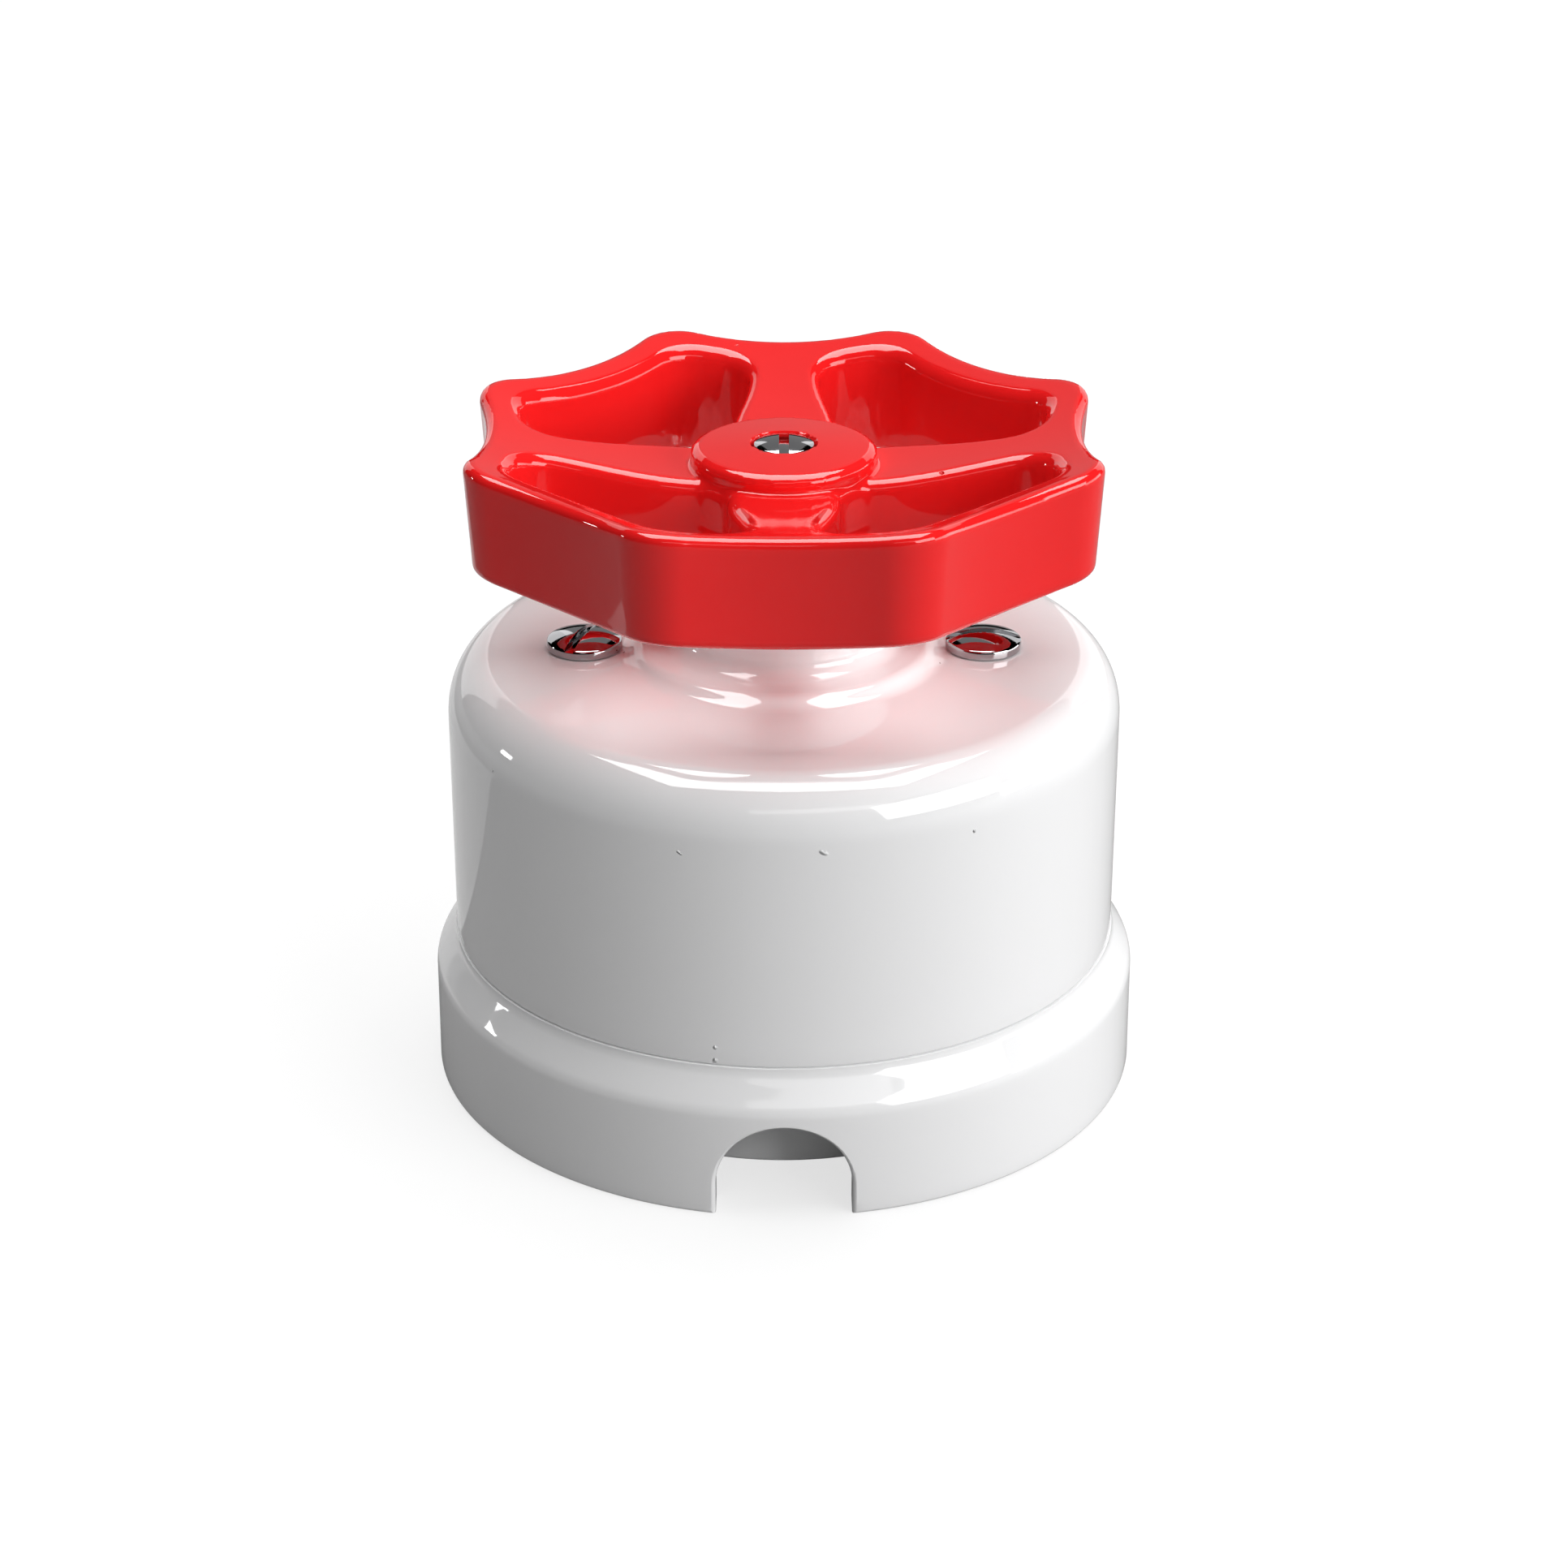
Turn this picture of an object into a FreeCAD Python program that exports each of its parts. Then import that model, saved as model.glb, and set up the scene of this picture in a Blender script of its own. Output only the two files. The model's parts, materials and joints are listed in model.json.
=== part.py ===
import FreeCAD, Part
import math
import os
import Sketcher

# Surface rotary switch of glazed porcelain with a red handwheel knob.
# The origin is the centre of the foot, +Z points away from the wall, the cable notch faces -Y.
# All sizes are millimetres.

doc = FreeCAD.newDocument("porcelain_switch")
Vector = FreeCAD.Vector
upright = Vector(0, 0, 1)
# two places closer than this are one place
close = 0.01

# Driving sizes

driving = [
    # foot
    ("base_r", 35.0),
    ("flange_z", 11.04),
    ("flange_wall", 3.4),
    ("flange_round", 0.8),
    ("edge_round", 0.65),
    ("drum_r", 24.86),
    ("drum_wall", 3.2),
    ("deck", 4.0),
    ("floor_z", 4.0),
    ("spigot_high", 2.2),
    ("spigot_wall", 2.0),
    ("fit_gap", 0.3),
    ("notch_r", 6.38),
    ("notch_axis", 3.05),
    ("window_wide", 7.0),
    ("window_high", 5.0),
    ("fixing_y", 17.6),
    ("fixing_r", 2.2),
    # cover
    ("seam_r", 32.77),
    ("seam_z", 14.73),
    ("cover_wall", 3.6),
    ("plateau_z", 43.2),
    ("roof", 3.6),
    ("shoulder", 5.0),
    ("roof_round", 3.0),
    ("step_r", 14.5),
    ("step_high", 1.1),
    ("step_round", 0.5),
    ("neck_r", 10.4),
    ("neck_z", 49.7),
    ("neck_foot", 1.5),
    ("neck_edge", 0.5),
    ("dome_r", 7.8),
    ("dome_z", 44.6),
    # pillars and their screws
    ("post_x", 19.4),
    ("post_r", 3.2),
    ("post_gap", 1.0),
    ("column_r", 5.0),
    ("column_z", 20.0),
    ("stud_r", 1.45),
    ("stud_low", 0.8),
    ("nut_r", 3.2),
    ("nut_high", 2.4),
    ("nut_well", 3.6),
    ("nut_roof", 4.2),
    ("washer_r", 3.3),
    ("washer_high", 0.6),
    ("screw_r", 1.7),
    ("screw_deep", 11.5),
    ("head_r", 3.7),
    ("head_rim", 0.4),
    ("head_high", 1.75),
    ("slot_wide", 0.95),
    ("slot_deep", 1.0),
    ("slot_turn", 68.0),
    # bridge plate and rivets
    ("plate_high", 1.2),
    ("plate_half", 5.5),
    ("rivet_x", 11.0),
    ("rivet_r", 1.2),
    ("rivet_head", 2.0),
    ("rivet_rim", 0.8),
    # block
    ("sheet_high", 0.5),
    ("sheet_rim", 0.4),
    ("block_x", 13.5),
    ("block_y", 13.0),
    ("block_floor", 1.5),
    ("chamber_gap", 0.6),
    ("pocket_x", 6.9),
    ("pocket_y", 6.4),
    # spindle, clip and rotor
    ("spindle_r", 3.0),
    ("spindle_z", 60.2),
    ("flat_x", 2.3),
    ("flat_start", 1.2),
    ("pin_r", 1.9),
    ("run_gap", 0.06),
    ("lift_gap", 0.1),
    ("clip_r", 4.6),
    ("clip_high", 0.5),
    ("clip_wide", 3.4),
    ("groove_deep", 0.6),
    ("rotor_r", 6.6),
    ("rotor_high", 6.0),
    ("rotor_waist", 4.4),
    ("cam_half", 4.7),
    ("cam_low", 12.6),
    ("cam_high", 5.6),
    ("cam_round", 1.2),
    ("blade_reach", 7.4),
    ("blade_half", 1.8),
    ("blade_disc", 5.2),
    ("blade_low", 9.2),
    ("blade_high", 0.9),
    # leaf springs
    ("leaf_gap", 0.05),
    ("leaf_thick", 0.45),
    ("leaf_half", 7.6),
    ("leaf_low", 12.9),
    ("leaf_high", 5.0),
    ("leaf_play", 0.2),
    # terminals
    ("brass_side", 6.0),
    ("brass_high", 8.0),
    ("brass_gap", 0.2),
    ("wire_r", 1.5),
    ("wire_rise", 3.6),
    ("wire_deep", 4.6),
    ("clamp_r", 1.25),
    ("clamp_head", 2.2),
    ("clamp_high", 1.6),
    ("clamp_slot", 0.6),
    ("tongue_thick", 0.8),
    ("tongue_low", 8.2),
    ("tongue_high", 2.8),
    ("tongue_out", 10.4),
    ("strip_thick", 0.8),
    ("strip_high", 2.0),
    # bush
    ("bush_r", 4.6),
    ("bush_flange", 7.2),
    ("bush_rim", 1.4),
    ("bush_short", 0.5),
    # knob
    ("knob_z", 68.0),
    ("knob_deep", 18.0),
    ("lobe_r", 31.75),
    ("lobe_rise", 3.14),
    ("lobe_round", 5.6),
    ("knob_draft", 3.4),
    ("dish_r", 110.3),
    ("dish_z", 61.64),
    ("knob_thick", 10.72),
    ("lobe_wall", 4.45),
    ("valley_wall", 4.01),
    ("gap_round", 4.0),
    ("gap_corner", 3.4),
    ("gap_root", 1.4),
    ("rim_round", 1.2),
    ("foot_round", 0.5),
    ("spoke_root", 6.3),
    ("spoke_tip", 2.9),
    ("spoke_sink", 1.4),
    ("cut_over", 1.0),
    ("hub_r", 8.6),
    ("hub_low", 50.3),
    ("cap_neck", 7.7),
    ("cap_r", 8.4),
    ("cap_low", 62.7),
    ("cap_z", 64.1),
    ("cap_round", 0.6),
    ("well_r", 3.1),
    ("well_z", 62.0),
    ("bore_z", 60.5),
    ("thread_gap", 0.05),
    ("knob_head", 2.9),
    ("knob_head_rim", 0.5),
    ("knob_head_high", 1.9),
    ("knob_screw_r", 1.45),
    ("knob_screw_deep", 8.5),
    ("knob_hole_deep", 9.5),
]

sheet = doc.addObject("Spreadsheet::Sheet", "Sizes")
size = {}
for row, (word, number) in enumerate(driving, start=1):
    sheet.set("A" + str(row), word)
    sheet.set("B" + str(row), str(number))
    sheet.setAlias("B" + str(row), word)
doc.recompute()
for word, number in driving:
    size[word] = float(sheet.get(word))


# A length is written as a sum of sizes, such as "seam_z + spigot_high" or "2*block_x".

def amount(text):
    total = 0.0
    sign = 1.0
    for word in text.split():
        if word in ("+", "-"):
            sign = 1.0 if word == "+" else -1.0
            continue
        factor, star, name = word.rpartition("*")
        value = size[name] if name in size else float(name)
        total += sign * value * (float(factor) if star else 1.0)
    return total


def formula(text):
    words = []
    for word in text.split():
        factor, star, name = word.rpartition("*")
        linked = "Sizes." + name if name in size else name
        words.append(factor + " * " + linked if star else linked)
    return " ".join(words)


def place(item, x="0", y="0", z="0", turn=0.0, axis=upright):
    spot = Vector(amount(x), amount(y), amount(z))
    item.Placement = FreeCAD.Placement(spot, FreeCAD.Rotation(axis, turn))
    for letter, text in (("x", x), ("y", y), ("z", z)):
        if text != "0":
            item.setExpression("Placement.Base." + letter, formula(text))
    return item


def cylinder(name, radius, height, x="0", y="0", z="0"):
    item = doc.addObject("Part::Cylinder", name)
    item.setExpression("Radius", formula(radius))
    item.setExpression("Height", formula(height))
    return place(item, x, y, z)


def box(name, wide, deep, high, x="0", y="0", z="0"):
    item = doc.addObject("Part::Box", name)
    item.setExpression("Length", formula(wide))
    item.setExpression("Width", formula(deep))
    item.setExpression("Height", formula(high))
    return place(item, x, y, z)


def hexagon(name, radius, height, x="0", z="0"):
    item = doc.addObject("Part::Prism", name)
    item.Polygon = 6
    item.setExpression("Circumradius", formula(radius))
    item.setExpression("Height", formula(height))
    return place(item, x, "0", z)


def sphere(name, radius, z):
    item = doc.addObject("Part::Sphere", name)
    item.setExpression("Radius", formula(radius))
    return place(item, "0", "0", z)


def turned(name, item, angle):
    group = doc.addObject("Part::Compound", name)
    group.Links = item if isinstance(item, list) else [item]
    group.Placement = FreeCAD.Placement(Vector(0, 0, 0), FreeCAD.Rotation(upright, angle))
    return group


def joined(name, *items):
    item = doc.addObject("Part::MultiFuse", name)
    item.Shapes = list(items)
    item.Refine = True
    return item


def grouped(name, *items):
    item = doc.addObject("Part::Compound", name)
    item.Links = list(items)
    return item


def without(name, body, *tools):
    item = doc.addObject("Part::Cut", name)
    item.Base = body
    item.Tool = tools[0] if len(tools) == 1 else joined(name + "_tools", *tools)
    return item


def common(name, first, second):
    item = doc.addObject("Part::Common", name)
    item.Base = first
    item.Tool = second
    return item


def origin_plane(body, role):
    return [feature for feature in body.Origin.OriginFeatures if feature.Role == role][0]


def new_sketch(body, name, role, offset="0"):
    sketch = body.newObject("Sketcher::SketchObject", name)
    sketch.AttachmentSupport = [(origin_plane(body, role), "")]
    sketch.MapMode = "FlatFace"
    if offset != "0":
        sketch.AttachmentOffset = FreeCAD.Placement(Vector(0, 0, amount(offset)), FreeCAD.Rotation())
        sketch.setExpression("AttachmentOffset.Base.z", formula(offset))
    return sketch


def tie(sketch, kind, first, end, text, name):
    index = sketch.addConstraint(Sketcher.Constraint(kind, -1, 1, first, end, amount(text)))
    sketch.renameConstraint(index, name)
    sketch.setExpression("Constraints." + name, formula(text))


def closed_outline(sketch, corners):
    # each corner is tied to the sketch's origin by its two distances
    spots = [Vector(amount(a), amount(b), 0) for a, b in corners]
    count = len(spots)
    for index in range(count):
        sketch.addGeometry(Part.LineSegment(spots[index], spots[(index + 1) % count]), False)
    for index in range(count):
        sketch.addConstraint(Sketcher.Constraint("Coincident", index, 2, (index + 1) % count, 1))
    for index, (across, along) in enumerate(corners):
        if across == "0":
            sketch.addConstraint(Sketcher.Constraint("PointOnObject", index, 1, -2))
        else:
            tie(sketch, "DistanceX", index, 1, across, "across" + str(index))
        if along == "0":
            sketch.addConstraint(Sketcher.Constraint("PointOnObject", index, 1, -1))
        else:
            tie(sketch, "DistanceY", index, 1, along, "along" + str(index))


def turned_body(name, corners):
    # a half section of radius and height, turned about the vertical axis
    body = doc.addObject("PartDesign::Body", name)
    sketch = new_sketch(body, name + "_section", "XZ_Plane")
    closed_outline(sketch, corners)
    ring = body.newObject("PartDesign::Revolution", name + "_ring")
    ring.Profile = sketch
    ring.ReferenceAxis = (sketch, ["V_Axis"])
    ring.Angle = 360
    sketch.Visibility = False
    doc.recompute()
    return body


def ring_edges(shape, radius, height):
    # edges that are circles about the vertical axis at this radius and height
    names = []
    for index, edge in enumerate(shape.Edges, start=1):
        if not isinstance(edge.Curve, Part.Circle):
            continue
        middle = edge.Curve.Center
        level = math.hypot(middle.x, middle.y) < close and abs(middle.z - height) < close
        if level and abs(edge.Curve.Radius - radius) < close:
            names.append("Edge" + str(index))
    return names


def round_rings(body, name, radius, rings):
    base = body.Tip
    names = []
    for across, along in rings:
        names += ring_edges(base.Shape, amount(across), amount(along))
    item = body.newObject("PartDesign::Fillet", name)
    item.Base = (base, names)
    item.setExpression("Radius", formula(radius))
    doc.recompute()


def round_edges(body, name, radius, chosen):
    base = body.Tip
    names = ["Edge" + str(index) for index, edge in enumerate(base.Shape.Edges, start=1) if chosen(edge)]
    item = body.newObject("PartDesign::Fillet", name)
    item.Base = (base, names)
    item.setExpression("Radius", formula(radius))
    doc.recompute()


def round_part(name, base, radius, chosen):
    doc.recompute()
    picked = [index for index, edge in enumerate(base.Shape.Edges, start=1) if chosen(edge)]
    item = doc.addObject("Part::Fillet", name)
    item.Base = base
    item.Edges = [(index, amount(radius), amount(radius)) for index in picked]
    return item


def along_edge(edge):
    first, last = edge.ParameterRange
    return [edge.valueAt(first + (last - first) * step / 4.0) for step in range(5)]


pieces = []


def piece(item, label):
    item.Label = label
    pieces.append(item)


# Foot: flange, deck over the wiring channel, drum with the mechanism's well

well = "drum_r - drum_wall"
channel = "base_r - flange_wall"
spigot = "seam_r - cover_wall - fit_gap"

foot = turned_body("foot_body", [
    ("base_r", "0"),
    ("base_r", "flange_z"),
    ("seam_r", "seam_z"),
    (spigot, "seam_z"),
    (spigot, "seam_z + spigot_high"),
    (spigot + " - spigot_wall", "seam_z + spigot_high"),
    (spigot + " - spigot_wall", "seam_z"),
    (well, "seam_z"),
    (well, "floor_z"),
    ("0", "floor_z"),
    ("0", "0"),
    ("drum_r", "0"),
    ("drum_r", "seam_z - deck"),
    (channel, "seam_z - deck"),
    (channel, "0"),
])

# arched cable notch through the flange, open at the wall
notch = new_sketch(foot, "notch_arch", "XZ_Plane", channel + " - edge_round")
arch_r = size["notch_r"]
arch_z = size["notch_axis"]
notch.addGeometry(Part.ArcOfCircle(Part.Circle(Vector(0, arch_z, 0), upright, arch_r), 0, math.pi), False)
notch.addGeometry(Part.LineSegment(Vector(-arch_r, arch_z, 0), Vector(-arch_r, 0, 0)), False)
notch.addGeometry(Part.LineSegment(Vector(-arch_r, 0, 0), Vector(arch_r, 0, 0)), False)
notch.addGeometry(Part.LineSegment(Vector(arch_r, 0, 0), Vector(arch_r, arch_z, 0)), False)
notch.addConstraint(Sketcher.Constraint("Tangent", 0, 2, 1, 1))
notch.addConstraint(Sketcher.Constraint("Coincident", 1, 2, 2, 1))
notch.addConstraint(Sketcher.Constraint("Coincident", 2, 2, 3, 1))
notch.addConstraint(Sketcher.Constraint("Tangent", 3, 2, 0, 1))
notch.addConstraint(Sketcher.Constraint("Vertical", 1))
notch.addConstraint(Sketcher.Constraint("Vertical", 3))
notch.addConstraint(Sketcher.Constraint("PointOnObject", 1, 2, -1))
notch.addConstraint(Sketcher.Constraint("PointOnObject", 2, 2, -1))
notch.addConstraint(Sketcher.Constraint("PointOnObject", 0, 3, -2))
tie(notch, "DistanceY", 0, 3, "notch_axis", "arch_height")
tie(notch, "DistanceX", 2, 2, "notch_r", "half_width")
arch = foot.newObject("PartDesign::Pocket", "notch")
arch.Profile = notch
arch.Type = 0
arch.Reversed = True
arch.setExpression("Length", formula("flange_wall + 2*edge_round"))
doc.recompute()


def on_notch_mouth(edge):
    spots = along_edge(edge)
    on_wall = all(abs(math.hypot(spot.x, spot.y) - size["base_r"]) < close for spot in spots)
    inside = all(abs(spot.x) < size["notch_r"] + close and spot.y < 0 for spot in spots)
    return on_wall and inside


round_edges(foot, "notch_rounding", "edge_round", on_notch_mouth)
round_rings(foot, "flange_rounding", "flange_round", [("base_r", "flange_z")])

# two columns in the well carry the bridge plate, with a nut recess under each
columns = []
sinks = []
for side, sign in (("left", "-1"), ("right", "1")):
    x = sign + "*post_x"
    columns.append(cylinder(side + "_column", "column_r", "column_z", x))
    sinks.append(cylinder(side + "_stud_hole", "stud_r + fit_gap", "column_z", x))
    sinks.append(cylinder(side + "_nut_recess", "nut_well", "nut_roof", x))

# wall-fixing holes in the well's floor
for side, sign in (("front", "-1"), ("rear", "1")):
    sinks.append(cylinder(side + "_fixing_hole", "fixing_r", "floor_z", "0", sign + "*fixing_y"))

# four windows let the conductors into the well
window = box("window", "drum_wall + 2*fit_gap", "window_wide", "window_high",
             well + " - fit_gap", "-0.5*window_wide", "floor_z + sheet_high")
for quarter in range(4):
    sinks.append(turned("window_" + str(quarter), window, 45 + 90 * quarter))

piece(without("base_solid", joined("base_blank", foot, *columns), *sinks), "base")


# Cover: drum with a soft shoulder, flat top, low step and neck

inner = "seam_r - cover_wall"
roof_z = "plateau_z - roof"
step_z = "plateau_z + step_high"

shell = turned_body("cover_body", [
    ("seam_r", "seam_z"),
    ("seam_r", "plateau_z"),
    ("step_r", "plateau_z"),
    ("step_r", step_z),
    ("neck_r", step_z),
    ("neck_r", "neck_z"),
    ("bush_r + thread_gap", "neck_z"),
    ("bush_r + thread_gap", "dome_z"),
    ("dome_r", "dome_z"),
    ("dome_r", roof_z),
    (inner, roof_z),
    (inner, "seam_z"),
])
round_rings(shell, "shoulder_rounding", "shoulder", [("seam_r", "plateau_z")])
round_rings(shell, "roof_rounding", "roof_round", [(inner, roof_z)])
round_rings(shell, "step_rounding", "step_round", [("step_r", "plateau_z"), ("step_r", step_z)])
round_rings(shell, "neck_rounding", "neck_foot", [("neck_r", step_z)])
round_rings(shell, "neck_edge_rounding", "neck_edge", [("neck_r", "neck_z")])

cover_holes = []
for side, sign in (("left", "-1"), ("right", "1")):
    cover_holes.append(cylinder(side + "_cover_hole", "screw_r + fit_gap", "roof + 2*fit_gap",
                                sign + "*post_x", "0", roof_z + " - fit_gap"))
piece(without("cover_solid", shell, *cover_holes), "cover")


# Cover screws: low domed heads with a thin rim and one slot

def domed_screw(name, x, seat, head, rim, high, shank, deep, slot_angle):
    # the dome is the cap of a ball through the rim's edge and the crown
    reach = size[head]
    rise = size[high] - size[rim]
    ball_r = (reach * reach + rise * rise) / (2.0 * rise)
    crown = amount(seat) + size[high]
    ball = doc.addObject("Part::Sphere", name + "_ball")
    ball.Radius = ball_r
    ball.Placement.Base = Vector(amount(x), 0, crown - ball_r)
    disc = cylinder(name + "_disc", head, high, x, "0", seat)
    top = common(name + "_top", disc, ball)
    stem = cylinder(name + "_stem", shank, deep + " + " + rim, x, "0", seat + " - " + deep)
    blank = joined(name + "_blank", top, stem)
    cutter = box(name + "_slot", "2*" + head + " + 2*fit_gap", "slot_wide", "slot_deep")
    half = Vector(-reach - size["fit_gap"], -size["slot_wide"] / 2.0, 0)
    turn = FreeCAD.Rotation(upright, slot_angle)
    spot = Vector(amount(x), 0, crown - size["slot_deep"])
    cutter.Placement = FreeCAD.Placement(spot + turn.multVec(half), turn)
    return without(name, blank, cutter)


screw_left = domed_screw("screw_left", "-1*post_x", "plateau_z", "head_r", "head_rim",
                         "head_high", "screw_r", "screw_deep", size["slot_turn"])
screw_right = domed_screw("screw_right", "post_x", "plateau_z", "head_r", "head_rim",
                          "head_high", "screw_r", "screw_deep", 0.0)
piece(grouped("cover_screw_pair", screw_left, screw_right), "cover_screws")


# Pillars with studs, washers and nuts

plate_top = "column_z + plate_high"
post_top = roof_z + " - post_gap"
posts = []
washers = []
nuts = []
for side, sign in (("left", "-1"), ("right", "1")):
    x = sign + "*post_x"
    shaft = hexagon(side + "_post_shaft", "post_r", post_top + " - " + plate_top.replace("+", "-"), x, plate_top)
    stud = cylinder(side + "_stud", "stud_r", plate_top + " - stud_low", x, "0", "stud_low")
    hole = cylinder(side + "_post_thread", "screw_r + thread_gap", "screw_deep", x, "0",
                    "plateau_z - screw_deep - post_gap")
    posts.append(without(side + "_post", joined(side + "_post_blank", shaft, stud), hole))
    ring = cylinder(side + "_washer_disc", "washer_r", "washer_high", x, "0", "nut_roof - washer_high")
    bore = cylinder(side + "_washer_bore", "stud_r + thread_gap", "nut_roof", x)
    washers.append(without(side + "_washer", ring, bore))
    block = hexagon(side + "_nut_block", "nut_r", "nut_high", x, "nut_roof - washer_high - nut_high")
    thread = cylinder(side + "_nut_thread", "stud_r + thread_gap", "nut_roof", x)
    nuts.append(without(side + "_nut", block, thread))
piece(grouped("post_pair", *posts), "cover_posts")
piece(grouped("washer_pair", *washers), "post_washers")
piece(grouped("nut_pair", *nuts), "post_nuts")


# Bridge plate: a strip with round ends, holes for studs, rivets and the spindle's bearing

plate = doc.addObject("PartDesign::Body", "plate_body")
strip = new_sketch(plate, "plate_outline", "XY_Plane", "column_z")
half = size["plate_half"]
reach = size["post_x"]
strip.addGeometry(Part.LineSegment(Vector(-reach, -half, 0), Vector(reach, -half, 0)), False)
strip.addGeometry(Part.ArcOfCircle(Part.Circle(Vector(reach, 0, 0), upright, half), -math.pi / 2, math.pi / 2), False)
strip.addGeometry(Part.LineSegment(Vector(reach, half, 0), Vector(-reach, half, 0)), False)
strip.addGeometry(Part.ArcOfCircle(Part.Circle(Vector(-reach, 0, 0), upright, half), math.pi / 2, 3 * math.pi / 2), False)
strip.addConstraint(Sketcher.Constraint("Tangent", 0, 2, 1, 1))
strip.addConstraint(Sketcher.Constraint("Tangent", 1, 2, 2, 1))
strip.addConstraint(Sketcher.Constraint("Tangent", 2, 2, 3, 1))
strip.addConstraint(Sketcher.Constraint("Tangent", 3, 2, 0, 1))
strip.addConstraint(Sketcher.Constraint("PointOnObject", 1, 3, -1))
strip.addConstraint(Sketcher.Constraint("Symmetric", 1, 3, 3, 3, -1, 1))
tie(strip, "DistanceX", 1, 3, "post_x", "stud_reach")
rounding = strip.addConstraint(Sketcher.Constraint("Radius", 1, half))
strip.renameConstraint(rounding, "end_radius")
strip.setExpression("Constraints.end_radius", formula("plate_half"))
slab = plate.newObject("PartDesign::Pad", "plate_slab")
slab.Profile = strip
slab.setExpression("Length", formula("plate_high"))
doc.recompute()
plate_holes = [cylinder("bearing_hole", "spindle_r + run_gap", plate_top)]
for side, sign in (("left", "-1"), ("right", "1")):
    plate_holes.append(cylinder(side + "_plate_stud", "stud_r + thread_gap", plate_top, sign + "*post_x"))
    plate_holes.append(cylinder(side + "_plate_rivet", "rivet_r + thread_gap", plate_top, sign + "*rivet_x"))
piece(without("plate_solid", plate, *plate_holes), "bridge_plate")


# Rivets through plate and block

block_low = "floor_z + sheet_high"
rivets = []
for side, sign in (("left", "-1"), ("right", "1")):
    x = sign + "*rivet_x"
    upper = cylinder(side + "_rivet_upper", "rivet_head", "rivet_rim", x, "0", plate_top)
    shank = cylinder(side + "_rivet_shank", "rivet_r", plate_top + " - floor_z - sheet_high", x, "0", block_low)
    lower = cylinder(side + "_rivet_lower", "rivet_head", "rivet_rim", x, "0", block_low)
    rivets.append(joined(side + "_rivet", upper, shank, lower))
piece(grouped("rivet_pair", *rivets), "plate_rivets")


# Insulating sheet under the block

piece(box("fibre_sheet", "2*block_x + 2*sheet_rim", "2*block_y + 2*sheet_rim", "sheet_high",
          "-1*block_x - sheet_rim", "-1*block_y - sheet_rim", "floor_z"), "insulating_sheet")


# Block: square moulding with a round chamber and four open corner pockets

pocket_low = "floor_z + sheet_high + block_floor"
solid = box("block_blank", "2*block_x", "2*block_y", "column_z - floor_z - sheet_high",
            "-1*block_x", "-1*block_y", block_low)
hollows = [
    cylinder("chamber", "blade_reach + chamber_gap", "column_z", "0", "0", pocket_low),
    cylinder("pin_hole", "pin_r + run_gap", "column_z"),
]
for name, left in (("right", True), ("left", False)):
    for row, front in (("rear", False), ("front", True)):
        x = "pocket_x" if left else "-1*block_x - fit_gap"
        y = "-1*block_y - fit_gap" if front else "pocket_y"
        hollows.append(box(row + "_" + name + "_pocket", "block_x - pocket_x + fit_gap",
                           "block_y - pocket_y + fit_gap", "column_z", x, y, pocket_low))
# slits for the contact tongues on both diagonals
slit = box("tongue_slit", "2*tongue_out", "tongue_thick + 2*brass_gap", "column_z",
           "-1*tongue_out", "-0.5*tongue_thick - brass_gap", "tongue_low - brass_gap")
hollows.append(turned("first_slit", slit, 45))
hollows.append(turned("second_slit", slit, 135))
# seats for the leaf springs
for row, low in (("rear", "cam_half + leaf_gap - leaf_play"),
                 ("front", "-1*cam_half - leaf_gap - leaf_thick - leaf_play")):
    hollows.append(box(row + "_leaf_seat", "2*leaf_half + 2*leaf_play", "leaf_thick + 2*leaf_play",
                       "column_z", "-1*leaf_half - leaf_play", low, "leaf_low"))
# groove for the common terminal's strip along the rear
hollows.append(box("strip_groove", "2*pocket_x + 2*fit_gap",
                   "block_y - pocket_y - brass_side + strip_thick + fit_gap", "strip_high + brass_gap",
                   "-1*pocket_x - fit_gap", "pocket_y + brass_side - strip_thick", pocket_low))
for side, sign in (("left", "-1"), ("right", "1")):
    x = sign + "*rivet_x"
    hollows.append(cylinder(side + "_rivet_hole", "rivet_r + thread_gap", "column_z", x))
    hollows.append(cylinder(side + "_rivet_sink", "rivet_head + thread_gap", "rivet_rim", x, "0", block_low))
piece(without("block_solid", solid, *hollows), "switch_block")


# Spindle: round shaft with a pin below, two flats, a clip groove and a threaded end

shaft_low = pocket_low + " + lift_gap"
shaft = cylinder("shaft", "spindle_r", "spindle_z - floor_z - sheet_high - block_floor - lift_gap",
                 "0", "0", shaft_low)
pin = cylinder("pin", "pin_r", "block_floor + lift_gap", "0", "0", block_low)
clip_low = "column_z - lift_gap - clip_high - thread_gap"
flat_high = "column_z - lift_gap - 2*clip_high"
lower_flat = box("lower_flat", "spindle_r", "2*spindle_r", flat_high + " - floor_z - sheet_high - block_floor",
                 "flat_x", "-1*spindle_r", pocket_low)
upper_flat = box("upper_flat_cut", "spindle_r", "2*spindle_r", "spindle_z - hub_low - flat_start",
                 "flat_x", "-1*spindle_r", "hub_low + flat_start")
groove_ring = without("groove_ring",
                      cylinder("groove_outer", "spindle_r + fit_gap", "clip_high + 2*thread_gap",
                               "0", "0", clip_low + " - thread_gap"),
                      cylinder("groove_inner", "spindle_r - groove_deep", "column_z"))
end_hole = cylinder("end_thread", "knob_screw_r + thread_gap", "knob_hole_deep", "0", "0",
                    "spindle_z - knob_hole_deep")
piece(without("spindle_solid", joined("spindle_blank", shaft, pin), lower_flat, upper_flat, groove_ring, end_hole),
      "spindle")


# Clip in the spindle's groove

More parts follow.
